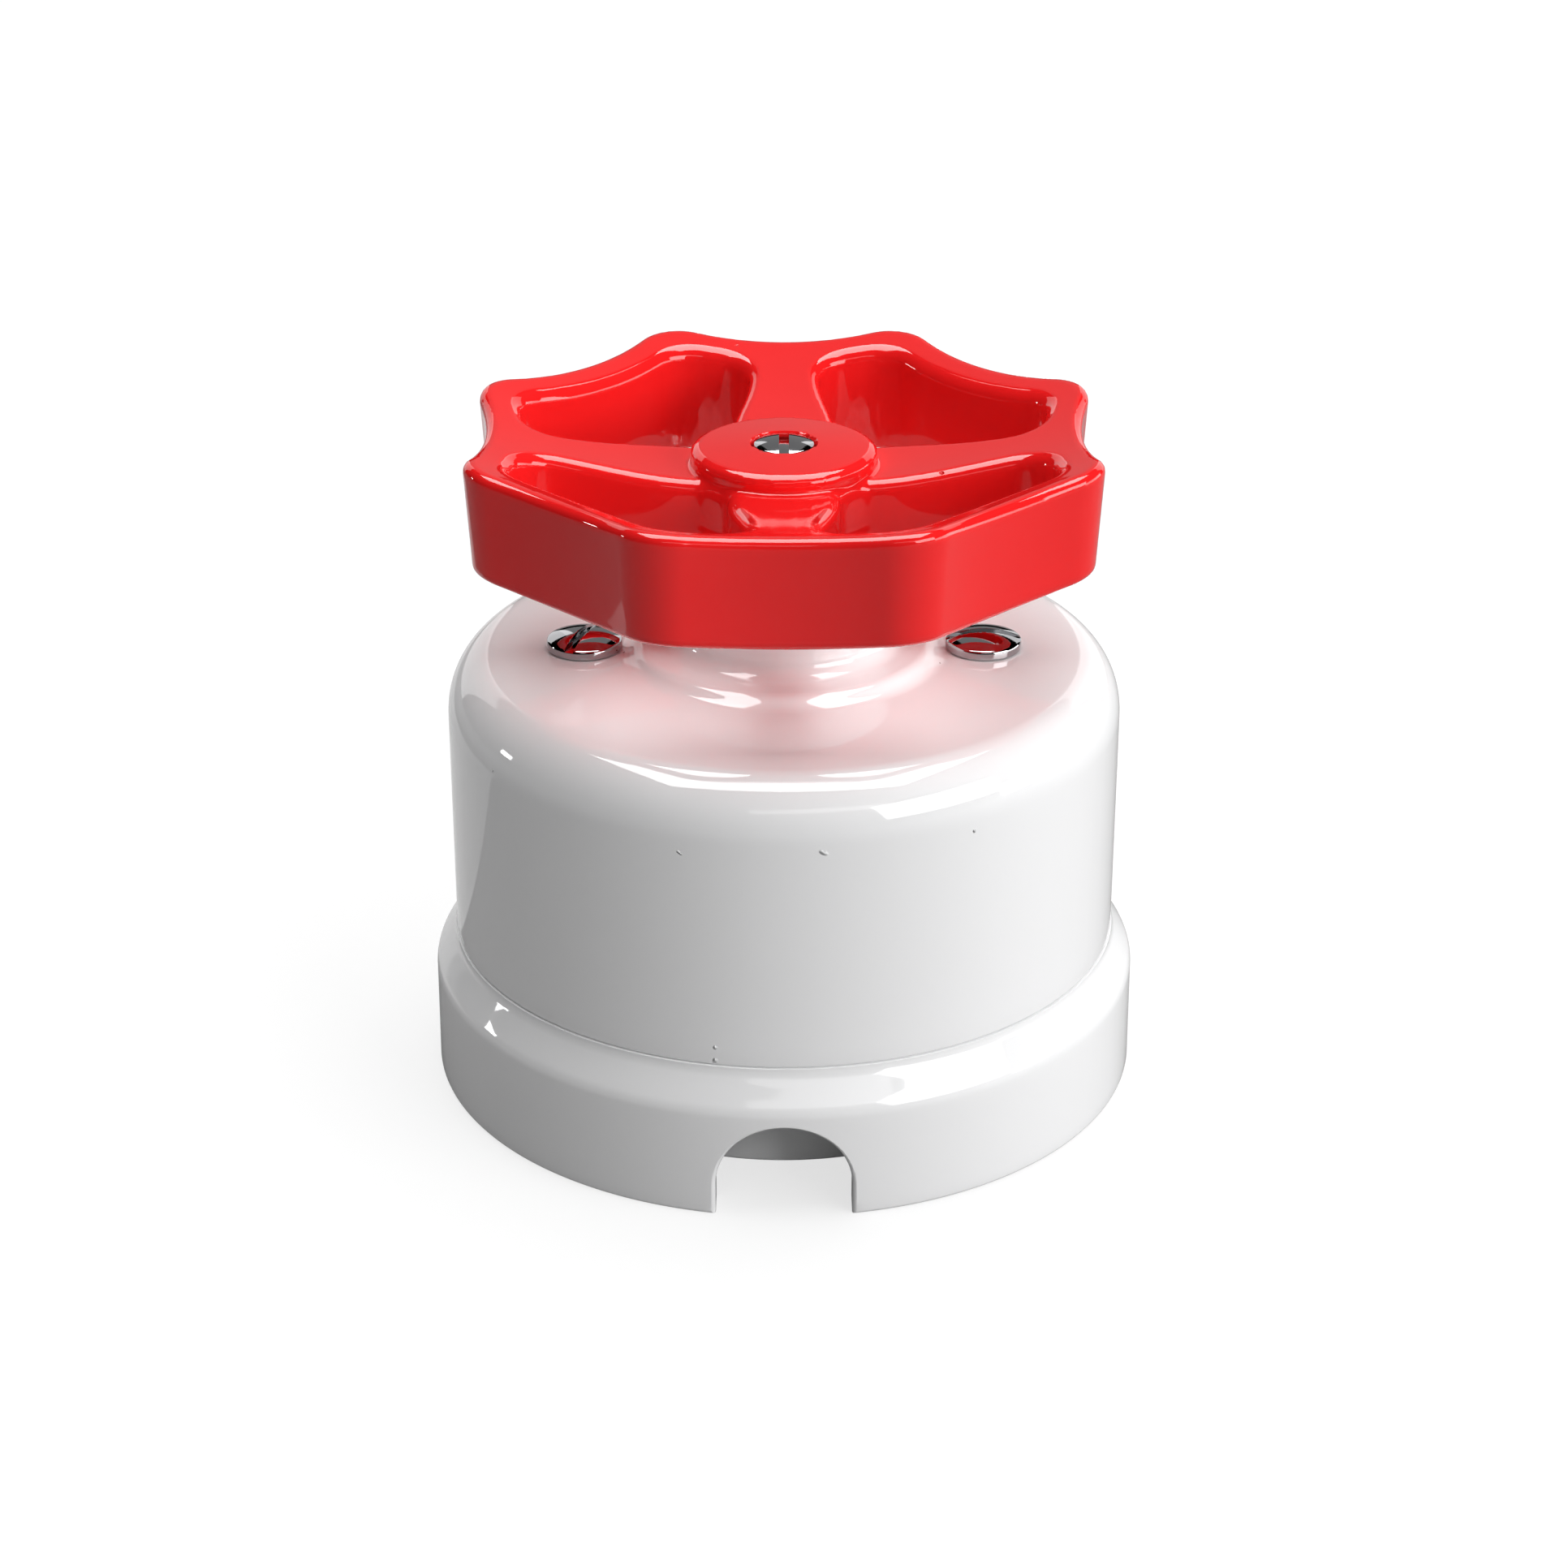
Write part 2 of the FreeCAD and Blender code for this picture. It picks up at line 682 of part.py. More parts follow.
clip_disc = cylinder("clip_disc", "clip_r", "clip_high", "0", "0", clip_low)
clip_bore = cylinder("clip_bore", "spindle_r - groove_deep + thread_gap", "column_z")
clip_mouth = box("clip_mouth", "2*clip_r", "clip_wide", "column_z", "0", "-0.5*clip_wide")
piece(without("clip_solid", clip_disc, clip_bore, clip_mouth), "retaining_clip")


# Blade through the rotor, on the first diagonal

arms = turned("blade_arms", box("blade_bar", "2*blade_reach", "2*blade_half", "blade_high",
                                "-1*blade_reach", "-1*blade_half", "blade_low"), 45)
disc = cylinder("blade_middle", "blade_disc", "blade_high", "0", "0", "blade_low")
blade = joined("blade_blank", arms, disc)
piece(without("blade_solid", blade, cylinder("blade_bore", "spindle_r + thread_gap", "column_z")), "moving_contact")


# Rotor: round skirt that holds the blade, waist and square cam

skirt = cylinder("rotor_skirt", "rotor_r", "rotor_high", "0", "0", shaft_low)
waist = cylinder("rotor_waist_part", "rotor_waist", "cam_low + cam_high - floor_z - sheet_high - block_floor - lift_gap",
                 "0", "0", shaft_low)
cam_blank = box("cam_blank", "2*cam_half", "2*cam_half", "cam_high", "-1*cam_half", "-1*cam_half", "cam_low")


def stands_upright(edge):
    first, last = along_edge(edge)[0], along_edge(edge)[-1]
    return abs(first.x - last.x) < close and abs(first.y - last.y) < close


cam = round_part("cam", cam_blank, "cam_round", stands_upright)
key_round = cylinder("rotor_bore_round", "spindle_r + thread_gap", "column_z")
key_box = box("rotor_bore_flat", "flat_x + spindle_r + 2*thread_gap", "2*spindle_r + 4*thread_gap", "column_z",
              "-1*spindle_r - thread_gap", "-1*spindle_r - 2*thread_gap")
key = common("rotor_bore", key_round, key_box)
piece(without("rotor_solid", joined("rotor_blank", skirt, waist, cam), key, blade), "rotor")


# Leaf springs along the cam's front and rear flats

for row, low in (("rear", "cam_half + leaf_gap"), ("front", "-1*cam_half - leaf_gap - leaf_thick")):
    piece(box(row + "_leaf", "2*leaf_half", "leaf_thick", "leaf_high", "-1*leaf_half", low, "leaf_low"),
          row + "_leaf_spring")


# Terminals in the corner pockets, each with a tongue that points at the blade

def terminal(name, right, rear):
    x = "pocket_x + brass_gap" if right else "-1*pocket_x - brass_gap - brass_side"
    y = "pocket_y + brass_gap" if rear else "-1*pocket_y - brass_gap - brass_side"
    sign_x = "" if right else "-1*"
    middle_x = x + " + 0.5*brass_side"
    middle_y = y + " + 0.5*brass_side"
    block = box(name + "_block", "brass_side", "brass_side", "brass_high", x, y, pocket_low)
    angle = {(True, True): 45, (False, True): 135, (False, False): 225, (True, False): 315}[(right, rear)]
    tongue = turned(name + "_tongue", tongue_bar, angle)
    entry = cylinder(name + "_wire_hole", "wire_r", "wire_deep + fit_gap")
    mouth_x = "pocket_x + brass_gap + brass_side - wire_deep" if right else \
        "-1*pocket_x - brass_gap - brass_side - fit_gap"
    place(entry, mouth_x, middle_y, pocket_low + " + wire_rise", 90, Vector(0, 1, 0))
    thread = cylinder(name + "_clamp_thread", "clamp_r + thread_gap", "brass_high - wire_rise",
                      middle_x, middle_y, pocket_low + " + wire_rise")
    head_z = pocket_low + " + brass_high"
    head = cylinder(name + "_clamp_head", "clamp_head", "clamp_high", middle_x, middle_y, head_z)
    stem = cylinder(name + "_clamp_stem", "clamp_r", "brass_high - wire_rise - wire_r + clamp_high",
                    middle_x, middle_y, pocket_low + " + wire_rise + wire_r")
    groove = box(name + "_clamp_groove", "2*clamp_head + 2*fit_gap", "clamp_slot", "clamp_high",
                 middle_x + " - clamp_head - fit_gap", middle_y + " - 0.5*clamp_slot", head_z + " + 0.5*clamp_high")
    screw = without(name + "_clamp", joined(name + "_clamp_blank", head, stem), groove)
    return [block, tongue], [entry, thread], screw


tongue_bar = box("tongue_bar", "tongue_out - blade_reach - fit_gap", "tongue_thick", "tongue_high",
                 "blade_reach + fit_gap", "-0.5*tongue_thick", "tongue_low")

clamps = []
solids, holes, clamp = terminal("first", False, False)
piece(without("first_terminal", joined("first_blank", *solids), *holes), "terminal_one")
clamps.append(clamp)
solids, holes, clamp = terminal("second", True, False)
piece(without("second_terminal", joined("second_blank", *solids), *holes), "terminal_two")
clamps.append(clamp)

# the common terminal reaches the fourth pocket by a strip along the rear
solids, holes, clamp = terminal("common", True, True)
strip_y = "pocket_y + brass_gap + brass_side - strip_thick"
solids.append(box("common_strip", "2*pocket_x + 2*brass_gap + strip_thick + fit_gap", "strip_thick", "strip_high",
                  "-1*pocket_x - brass_gap - strip_thick", strip_y, pocket_low))
solids.append(box("common_wing", "strip_thick", "brass_side", "tongue_low + tongue_high - floor_z - sheet_high - block_floor",
                  "-1*pocket_x - brass_gap - strip_thick", "pocket_y + brass_gap", pocket_low))
solids.append(turned("far_tongue", tongue_bar, 135))
piece(without("common_terminal", joined("common_blank", *solids), *holes), "terminal_common")
clamps.append(clamp)
piece(grouped("clamp_trio", *clamps), "terminal_screws")


# Bush in the cover's neck

bush_tube = cylinder("bush_tube", "bush_r", "neck_z - bush_short - dome_z + bush_rim", "0", "0", "dome_z - bush_rim")
bush_flange = cylinder("bush_flange_disc", "bush_flange", "bush_rim", "0", "0", "dome_z - bush_rim")
bush_bore = cylinder("bush_bore", "spindle_r + run_gap", "neck_z")
piece(without("bush_solid", joined("bush_blank", bush_tube, bush_flange), bush_bore), "cover_bush")


# Knob: dished handwheel between two parallel ball faces

lobes = 8


def lobed_wire(tip, hollow, nose, height):
    # lobe arcs joined by long valley arcs, all tangent
    centre = tip - nose
    half_step = math.pi / lobes
    flat = (nose ** 2 - centre ** 2 - hollow ** 2 + 2 * centre * hollow * math.cos(half_step)) \
        / (2 * hollow - 2 * centre * math.cos(half_step) - 2 * nose)

    def polar(radius, angle):
        return Vector(radius * math.cos(angle), radius * math.sin(angle), height)

    def touch(lobe_angle, valley_angle):
        lobe = polar(centre, lobe_angle)
        valley = polar(hollow + flat, valley_angle)
        return lobe + (valley - lobe) * (nose / (nose + flat))

    edges = []
    for lobe in range(lobes):
        angle = (2 * lobe + 1) * half_step
        before = touch(angle, angle - half_step)
        after = touch(angle, angle + half_step)
        beyond = touch(angle + 2 * half_step, angle + half_step)
        edges.append(Part.Arc(before, polar(tip, angle), after).toShape())
        edges.append(Part.Arc(after, polar(hollow, angle + half_step), beyond).toShape())
    return Part.Wire(edges)


lobe_r = size["lobe_r"]
valley_r = lobe_r - size["lobe_rise"]
gap_valley = valley_r - size["valley_wall"]
outline = doc.addObject("Part::Feature", "knob_outline")
outline.Shape = lobed_wire(lobe_r, valley_r, size["lobe_round"], size["knob_z"])
outline.Placement = FreeCAD.Placement()
rim = doc.addObject("Part::Extrusion", "knob_rim")
rim.Base = outline
rim.DirMode = "Custom"
rim.Dir = Vector(0, 0, -1)
rim.Solid = True
rim.setExpression("LengthFwd", formula("knob_deep"))
rim.setExpression("TaperAngle", formula("-1*knob_draft"))

# the four finger openings follow the outer outline and end at spokes and hub
gap_outline = doc.addObject("Part::Feature", "gap_outline")
gap_top = size["knob_z"] + size["cut_over"]
gap_outline.Shape = lobed_wire(lobe_r - size["lobe_wall"], gap_valley, size["gap_round"], gap_top)
gap_outline.Placement = FreeCAD.Placement()
gap_blank = doc.addObject("Part::Extrusion", "gap_blank")
gap_blank.Base = gap_outline
gap_blank.DirMode = "Custom"
gap_blank.Dir = Vector(0, 0, -1)
gap_blank.Solid = True
gap_blank.setExpression("LengthFwd", formula("knob_deep + 2*cut_over"))

spoke = doc.addObject("Part::Feature", "spoke_outline")
root = size["spoke_root"]
tip_half = size["spoke_tip"]
far = gap_valley + size["spoke_sink"]
corners = [(0, root), (far, tip_half), (far, -tip_half), (0, -root), (-far, -tip_half), (-far, tip_half), (0, root)]
gap_floor = size["knob_z"] - size["knob_deep"] - size["cut_over"]
spoke.Shape = Part.Face(Part.makePolygon([Vector(x, y, gap_floor) for x, y in corners]))
spoke.Placement = FreeCAD.Placement()
spoke_pair = doc.addObject("Part::Extrusion", "spoke_pair")
spoke_pair.Base = spoke
spoke_pair.DirMode = "Custom"
spoke_pair.Dir = Vector(0, 0, 1)
spoke_pair.setExpression("LengthFwd", formula("knob_deep + 2*cut_over"))
spoke_cross = turned("spoke_cross", spoke_pair, 90)
hub_column = cylinder("hub_column", "hub_r", "knob_z + cut_over")
gaps_sharp = without("gaps_sharp", gap_blank, spoke_pair, spoke_cross, hub_column)


def gap_edge(near_hub):
    # the upright edges where a spoke's side meets the hub or the rim
    def chosen(edge):
        spot = along_edge(edge)[0]
        across, along = sorted((abs(spot.x), abs(spot.y)))
        on_side = abs(across - root + (root - tip_half) * along / far) < close
        on_hub = abs(math.hypot(across, along) - size["hub_r"]) < close
        return stands_upright(edge) and on_side and on_hub == near_hub
    return chosen


gaps_half = round_part("gaps_half", gaps_sharp, "gap_corner", gap_edge(False))
gaps = round_part("gaps", gaps_half, "gap_root", gap_edge(True))

wheel = without("wheel_open", rim, gaps)
upper_ball = sphere("upper_ball", "dish_r", "dish_z + dish_r")
lower_ball = sphere("lower_ball", "dish_r", "dish_z + dish_r - knob_thick")
dished = common("wheel_dished", without("wheel_topped", wheel, upper_ball), lower_ball)


def on_ball(lift):
    def chosen(edge):
        middle = Vector(0, 0, size["dish_z"] + size["dish_r"] - lift)
        return all(abs((spot - middle).Length - size["dish_r"]) < close for spot in along_edge(edge))
    return chosen


softened = round_part("wheel_softened", dished, "rim_round", on_ball(0))
wheel_body = round_part("wheel_body", softened, "foot_round", on_ball(size["knob_thick"]))

# hub: short skirt below, waisted mushroom cap above
skirt_low = cylinder("hub_skirt", "hub_r", "dish_z - hub_low", "0", "0", "hub_low")
cap_neck = cylinder("cap_neck_part", "cap_neck", "cap_z - dish_z", "0", "0", "dish_z - cap_round")
cap_blank = cylinder("cap_blank", "cap_r", "cap_z - cap_low", "0", "0", "cap_low")


def on_cap_rim(edge):
    return isinstance(edge.Curve, Part.Circle) and abs(edge.Curve.Radius - size["cap_r"]) < close


cap = round_part("cap", cap_blank, "cap_round", on_cap_rim)
knob_bore = common("knob_bore",
                   cylinder("knob_bore_round", "spindle_r + thread_gap", "bore_z - hub_low", "0", "0", "hub_low"),
                   box("knob_bore_flat", "flat_x + spindle_r + 2*thread_gap", "2*spindle_r + 4*thread_gap",
                       "bore_z - hub_low", "-1*spindle_r - thread_gap", "-1*spindle_r - 2*thread_gap", "hub_low"))
knob_hole = cylinder("knob_hole", "knob_screw_r + fit_gap", "well_z - hub_low", "0", "0", "hub_low")
knob_well = cylinder("knob_well", "well_r", "cap_z - well_z + fit_gap", "0", "0", "well_z")
lower_bore = cylinder("lower_bore", "spindle_r + thread_gap", "flat_start", "0", "0", "hub_low")
piece(without("knob_solid", joined("knob_blank", wheel_body, skirt_low, cap_neck, cap),
              knob_bore, lower_bore, knob_hole, knob_well), "knob")

piece(domed_screw("hub_screw", "0", "well_z", "knob_head", "knob_head_rim", "knob_head_high",
                  "knob_screw_r", "knob_screw_deep", 90.0), "knob_screw")


# Every object is checked before any file is written

doc.recompute()
for item in doc.Objects:
    if "Invalid" in item.State or "Error" in item.State:
        raise SystemExit("failed object: " + item.Name + " " + str(item.State))
for item in pieces:
    if item.Shape.isNull() or not item.Shape.isValid() or not item.Shape.Solids:
        raise SystemExit("bad shape: " + item.Label)

os.makedirs("parts", exist_ok=True)
for item in pieces:
    item.Shape.exportStep("parts/" + item.Label + ".step")
    limits = item.Shape.BoundBox
    print(item.Label, len(item.Shape.Solids), "solids", round(item.Shape.Volume, 1), "mm3",
          "z", round(limits.ZMin, 2), round(limits.ZMax, 2))
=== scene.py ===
import json
import math

import bmesh
import bpy
import numpy as np
from mathutils import Matrix, Vector


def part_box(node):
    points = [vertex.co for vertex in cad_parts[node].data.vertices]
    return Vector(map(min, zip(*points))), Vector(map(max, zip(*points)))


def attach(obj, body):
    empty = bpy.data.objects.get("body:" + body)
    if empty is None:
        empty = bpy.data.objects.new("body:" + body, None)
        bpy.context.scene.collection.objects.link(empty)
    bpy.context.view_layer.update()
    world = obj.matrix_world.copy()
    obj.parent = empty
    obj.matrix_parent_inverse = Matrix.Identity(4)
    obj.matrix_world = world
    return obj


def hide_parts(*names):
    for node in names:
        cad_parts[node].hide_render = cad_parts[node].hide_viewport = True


# Porcelain surface switch with a red handwheel knob. Lengths in the dictionaries are millimetres,
# apart from the studio's. The frame, the studio and Blender are in metres.

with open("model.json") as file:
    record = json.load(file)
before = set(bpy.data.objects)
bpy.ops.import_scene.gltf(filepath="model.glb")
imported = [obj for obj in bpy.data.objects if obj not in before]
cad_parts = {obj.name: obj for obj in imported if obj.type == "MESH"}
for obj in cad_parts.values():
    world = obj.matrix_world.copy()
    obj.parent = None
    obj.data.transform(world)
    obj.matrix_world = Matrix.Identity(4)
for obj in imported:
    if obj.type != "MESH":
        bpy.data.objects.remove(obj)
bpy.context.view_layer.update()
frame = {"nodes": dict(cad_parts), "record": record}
nodes = frame["nodes"]
mm = 0.001
housing = "housing"
turning = "knob_assembly"
mergeWithin = 1e-7      # metres
cutPast = 1             # how far a cutter reaches past what it cuts


# sizes that several pieces share, read from the frame

def high(node):
    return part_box(node)[1][2] / mm


def low(node):
    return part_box(node)[0][2] / mm


def halfWide(node):
    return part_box(node)[1][0] / mm


flangeR = halfWide("base")
seamR = halfWide("cover")
seamZ = low("cover")
neckZ = high("cover")
knobLow = low("knob")
print("sizes read: flange", round(flangeR, 2), "seam", round(seamR, 2), round(seamZ, 2),
      "neck", round(neckZ, 2))


# meshes

def newObject(name, data):
    thing = bpy.data.objects.new(name, data)
    bpy.context.scene.collection.objects.link(thing)
    return thing


def smoothShade(mesh, degrees):
    # edges that turn by more than this stay sharp
    mesh.shade_smooth()
    mesh.set_sharp_from_angle(angle=math.radians(degrees))


def cleanMesh(mesh):
    # merged, closed and turned outwards
    soup = bmesh.new()
    soup.from_mesh(mesh)
    bmesh.ops.remove_doubles(soup, verts=soup.verts, dist=mergeWithin)
    bmesh.ops.dissolve_degenerate(soup, edges=soup.edges, dist=mergeWithin)
    bmesh.ops.recalc_face_normals(soup, faces=soup.faces)
    soup.to_mesh(mesh)
    soup.free()


def closedMesh(name, places, faces):
    mesh = bpy.data.meshes.new(name)
    mesh.from_pydata(places, [], faces)
    cleanMesh(mesh)
    return mesh


def basicMesh(name, maker, **sizes):
    # one of bmesh's own shapes
    soup = bmesh.new()
    maker(soup, **sizes)
    mesh = bpy.data.meshes.new(name)
    soup.to_mesh(mesh)
    soup.free()
    return mesh


def arcPoints(centre, radii, start, end, steps):
    # part of an ellipse in the section plane, angles in degrees from the outward direction
    spots = []
    for step in range(steps + 1):
        angle = math.radians(start + (end - start) * step / steps)
        spots.append((centre[0] + radii[0] * math.cos(angle),
                      centre[1] + radii[1] * math.sin(angle)))
    return spots


def roundedSection(corners, steps=6):
    # each corner is (radius, height) or (radius, height, rounding), the rounding cut as a true arc
    spots = []
    count = len(corners)
    for index, corner in enumerate(corners):
        here = Vector(corner[:2])
        if len(corner) < 3:
            spots.append(tuple(here))
            continue
        before = (Vector(corners[index - 1][:2]) - here).normalized()
        after = (Vector(corners[(index + 1) % count][:2]) - here).normalized()
        half = before.angle(after) / 2
        middle = here + (before + after).normalized() * (corner[2] / math.sin(half))
        firstSide = here + before * (corner[2] / math.tan(half)) - middle
        lastSide = here + after * (corner[2] / math.tan(half)) - middle
        sweep = firstSide.angle(lastSide)
        for step in range(steps + 1):
            share = step / steps
            side = firstSide * math.sin((1 - share) * sweep) + lastSide * math.sin(share * sweep)
            spots.append(tuple(middle + side / math.sin(sweep)))
    return spots


def spacedSection(spots, longest):
    # no run of the section is longer than this, so that the gloss stays even on long walls
    result = []
    for index, spot in enumerate(spots):
        following = spots[(index + 1) % len(spots)]
        pieces = max(1, math.ceil(math.dist(spot, following) / longest))
        for step in range(pieces):
            share = step / pieces
            result.append(tuple(a + (b - a) * share for a, b in zip(spot, following)))
    return result


def turnedMesh(name, section, turns):
    # closed section turned about the vertical axis, points on the axis are merged
    count = len(section)
    places = []
    for turn in range(turns):
        angle = 2 * math.pi * turn / turns
        for radius, height in section:
            places.append((radius * math.cos(angle) * mm, radius * math.sin(angle) * mm,
                           height * mm))
    faces = []
    for turn in range(turns):
        following = (turn + 1) % turns
        for index in range(count):
            after = (index + 1) % count
            faces.append((turn * count + index, following * count + index,
                          following * count + after, turn * count + after))
    return closedMesh(name, places, faces)


def turnedPiece(name, section, sizes):
    section = spacedSection(section, sizes["longest"])
    return newObject(name, turnedMesh(name, section, sizes["turns"]))


def applied(thing):
    # the evaluated mesh takes the place of the modifiers
    depsgraph = bpy.context.evaluated_depsgraph_get()
    mesh = bpy.data.meshes.new_from_object(thing.evaluated_get(depsgraph))
    thing.modifiers.clear()
    thing.data = mesh
    return thing


def combined(thing, others, operation="DIFFERENCE"):
    for other in others:
        step = thing.modifiers.new("combined", "BOOLEAN")
        step.operation = operation
        step.solver = "EXACT"
        step.object = other
        applied(thing)
        bpy.data.objects.remove(other)
    return thing


def rod(name, radius, bottom, top, place, sides=64):
    # round bar for holes and columns
    section = [(0, bottom), (radius, bottom), (radius, top), (0, top)]
    mesh = turnedMesh(name, section, sides)
    mesh.transform(Matrix.Translation((place[0] * mm, place[1] * mm, 0)))
    return newObject(name, mesh)


def bar(name, wide, deep, tall, place, turn=0):
    # straight bar for windows and slots, place is its middle
    mesh = basicMesh(name, bmesh.ops.create_cube, size=1)
    mesh.transform(Matrix.Diagonal((wide * mm, deep * mm, tall * mm, 1)))
    mesh.transform(Matrix.Translation(Vector(place) * mm))
    mesh.transform(Matrix.Rotation(math.radians(turn), 4, "Z"))
    return newObject(name, mesh)


# shader maths: a socket that can be added, multiplied and divided like a number

class Wire:
    def __init__(self, finish, socket):
        self.finish = finish
        self.socket = socket

    def maths(self, operation, *others):
        return self.finish.add("ShaderNodeMath", {"operation": operation}, [self, *others])

    def __add__(self, other):
        return self.maths("ADD", other)

    def __sub__(self, other):
        return self.maths("SUBTRACT", other)

    def __rsub__(self, other):
        return self.finish.add("ShaderNodeMath", {"operation": "SUBTRACT"}, [other, self])

    def __mul__(self, other):
        return self.maths("MULTIPLY", other)

    def __truediv__(self, other):
        return self.maths("DIVIDE", other)

    __radd__ = __add__
    __rmul__ = __mul__


def metres(spot):
    return tuple(value * mm for value in spot)


class Finish:
    # one material: its shader, and one method that adds any other node
    def __init__(self, name, colour, roughness, metallic=0.0, **fixed):
        self.material = bpy.data.materials.new(name)
        self.material.use_nodes = True
        self.tree = self.material.node_tree
        self.shader = self.tree.nodes["Principled BSDF"]
        self.set("Base Color", (*colour, 1))
        self.set("Roughness", roughness)
        self.set("Metallic", metallic)
        for socket, value in fixed.items():
            self.set(socket.replace("_", " "), value)
        self.place = self.add("ShaderNodeTexCoord", {}, [], "Object")

    def set(self, socket, value):
        target = self.shader.inputs[socket]
        if isinstance(value, Wire):
            self.tree.links.new(value.socket, target)
        else:
            target.default_value = value

    def add(self, kind, settings, values, output=0):
        node = self.tree.nodes.new(kind)
        for setting, value in settings.items():
            setattr(node, setting, value)
        pairs = values.items() if isinstance(values, dict) else enumerate(values)
        for socket, value in pairs:
            if isinstance(value, Wire):
                self.tree.links.new(value.socket, node.inputs[socket])
            else:
                node.inputs[socket].default_value = value
        return Wire(self, node.outputs[output])

    def noise(self, size, detail=2.0, stretch=None):
        # size is the width of one patch in millimetres
        place = self.place
        if stretch:
            place = self.add("ShaderNodeMapping", {}, {"Vector": place, "Scale": stretch})
        return self.add("ShaderNodeTexNoise", {}, {"Vector": place, "Scale": 1 / (size * mm),
                                                   "Detail": detail}, "Fac")

    def mix(self, share, first, second):
        # the Mix node's colours are its inputs 6 and 7 and its output 2
        first, second = (value if isinstance(value, Wire) else (*value, 1)
                         for value in (first, second))
        return self.add("ShaderNodeMix", {"data_type": "RGBA"}, {0: share, 6: first, 7: second}, 2)

    def vector(self, operation, first, second):
        # vector maths, with a number as the result of a product or a distance
        output = "Value" if operation in ("DOT_PRODUCT", "DISTANCE") else "Vector"
        return self.add("ShaderNodeVectorMath", {"operation": operation}, [first, second], output)

    def near(self, spot):
        # distance from a spot of the piece in millimetres
        return self.vector("DISTANCE", self.place, metres(spot)) / mm

    def bump(self, height, strength, depth, under=None):
        # depth in millimetres
        values = {"Strength": strength, "Distance": depth * mm, "Height": height}
        if under:
            values["Normal"] = under
        return self.add("ShaderNodeBump", {}, values)


def paint(thing, finish):
    thing.data.materials.clear()
    thing.data.materials.append(finish.material)


# finishes

# marks in a glaze: middle, long direction, half length and half width
coverMarks = [      # raised specks
    ((-9.43, -31.42, 36.27), (0.835, -0.247, -0.493), 0.38, 0.17),
    ((3.57, -32.61, 36.86), (0.897, 0.102, -0.430), 0.52, 0.27),
    ((17.34, -27.84, 36.73), (0, 0, 1), 0.22, 0.20),
    ((-27.23, -18.29, 38.32), (0, 0, 1), 0.22, 0.16),
    ((-6.36, -32.18, 16.62), (0, 0, 1), 0.24, 0.24),
    ((-6.37, -32.17, 15.25), (0, 0, 1), 0.30, 0.28),
]
knobMarks = [       # a pinch on the right spoke's edge and a pit on the rear rim
    ((14.8, -3.95, 62.60), (0.45, 0.35, -0.82), 0.75, 0.26),
    ((-4.78, 26.76, 65.21), (0, 0, 1), 0.22, 0.22),
]
# pinholes in the cover's top, each drawn only as a painted shade spot in the colour: middle and
# radius
shadedPinholes = [((-15.50, -1.43, 43.15), 0.17), ((15.00, -4.13, 43.15), 0.12)]


def markHeight(finish, spot, axis, long, short):
    # height of one mark, 1 in its middle
    reach = finish.vector("SUBTRACT", finish.place, metres(spot))
    along = finish.vector("DOT_PRODUCT", reach, axis)
    along = along * along
    across = finish.vector("DOT_PRODUCT", reach, reach) - along
    rise = (1 - across / (short * mm) ** 2 - along / (long * mm) ** 2).maths("MAXIMUM", 0.0)
    return rise * rise


def glazeSurface(finish, look, marks):
    # slow waves, and the marks on top of them
    wave = finish.bump(finish.noise(look["waveSize"], 1.0), look["waveShare"], look["waveHigh"])
    heights = [markHeight(finish, *mark) for mark in marks]
    finish.set("Normal", finish.bump(sum(heights), 1.0, look["markHigh"], wave))


def porcelainFinish():
    look = {"white": (0.88, 0.88, 0.885), "cool": (0.872, 0.873, 0.878), "cloudSize": 14,
            "hole": (0.20, 0.12, 0.11), "pitShadeEdge": 3, "gloss": 0.04, "ior": 1.55,
            "markHigh": 0.34, "waveSize": 9, "waveShare": 0.025, "waveHigh": 0.25}
    finish = Finish("whitePorcelain", look["white"], look["gloss"], IOR=look["ior"])
    colour = finish.mix(finish.noise(look["cloudSize"], 3), look["white"], look["cool"])
    # painted shade: the hole colour darkens a spot in the base colour for the shade inside each
    # pinhole's pit, which is not cut into the surface
    for spot, radius in shadedPinholes:
        inside = (1 - finish.near(spot) / radius).maths("MAXIMUM", 0.0)
        share = (inside * look["pitShadeEdge"]).maths("MINIMUM", 1.0)
        colour = finish.mix(share, colour, look["hole"])
    finish.set("Base Color", colour)
    glazeSurface(finish, look, coverMarks)
    return finish


def redFinish():
    look = {"red": (0.88, 0.016, 0.017), "deep": (0.84, 0.013, 0.014), "cloudSize": 7,
            "gloss": 0.04, "ior": 1.52,
            "markHigh": -0.2, "waveSize": 6, "waveShare": 0.035, "waveHigh": 0.2}
    finish = Finish("redGlaze", look["red"], look["gloss"], IOR=look["ior"])
    cloud = finish.noise(look["cloudSize"])
    finish.set("Base Color", finish.mix(cloud, look["red"], look["deep"]))
    glazeSurface(finish, look, knobMarks)
    return finish


metalLook = {
    "dull": 0.72,           # the tarnished colour's share of the bright one
    "tarnishRough": 0.08,
    "lineSize": 0.5,
    "lineStretch": 9.0,
    "lineRough": 0.6,
    "lineHigh": 0.02,
}


def metalFinish(name, colour, roughness, grain=0.25, patch=6.0):
    # fine turning or rolling marks over slow tarnish
    m = metalLook
    finish = Finish(name, colour, roughness, 1.0)
    tarnish = finish.noise(patch, 4)
    dull = tuple(value * m["dull"] for value in colour)
    finish.set("Base Color", finish.mix(tarnish, colour, dull))
    lines = finish.noise(m["lineSize"], stretch=(1.0, 1.0, m["lineStretch"]))
    uneven = (lines - 0.5) * grain * m["lineRough"] + tarnish * m["tarnishRough"]
    finish.set("Roughness", uneven + roughness)
    finish.set("Normal", finish.bump(lines, grain, m["lineHigh"]))
    return finish


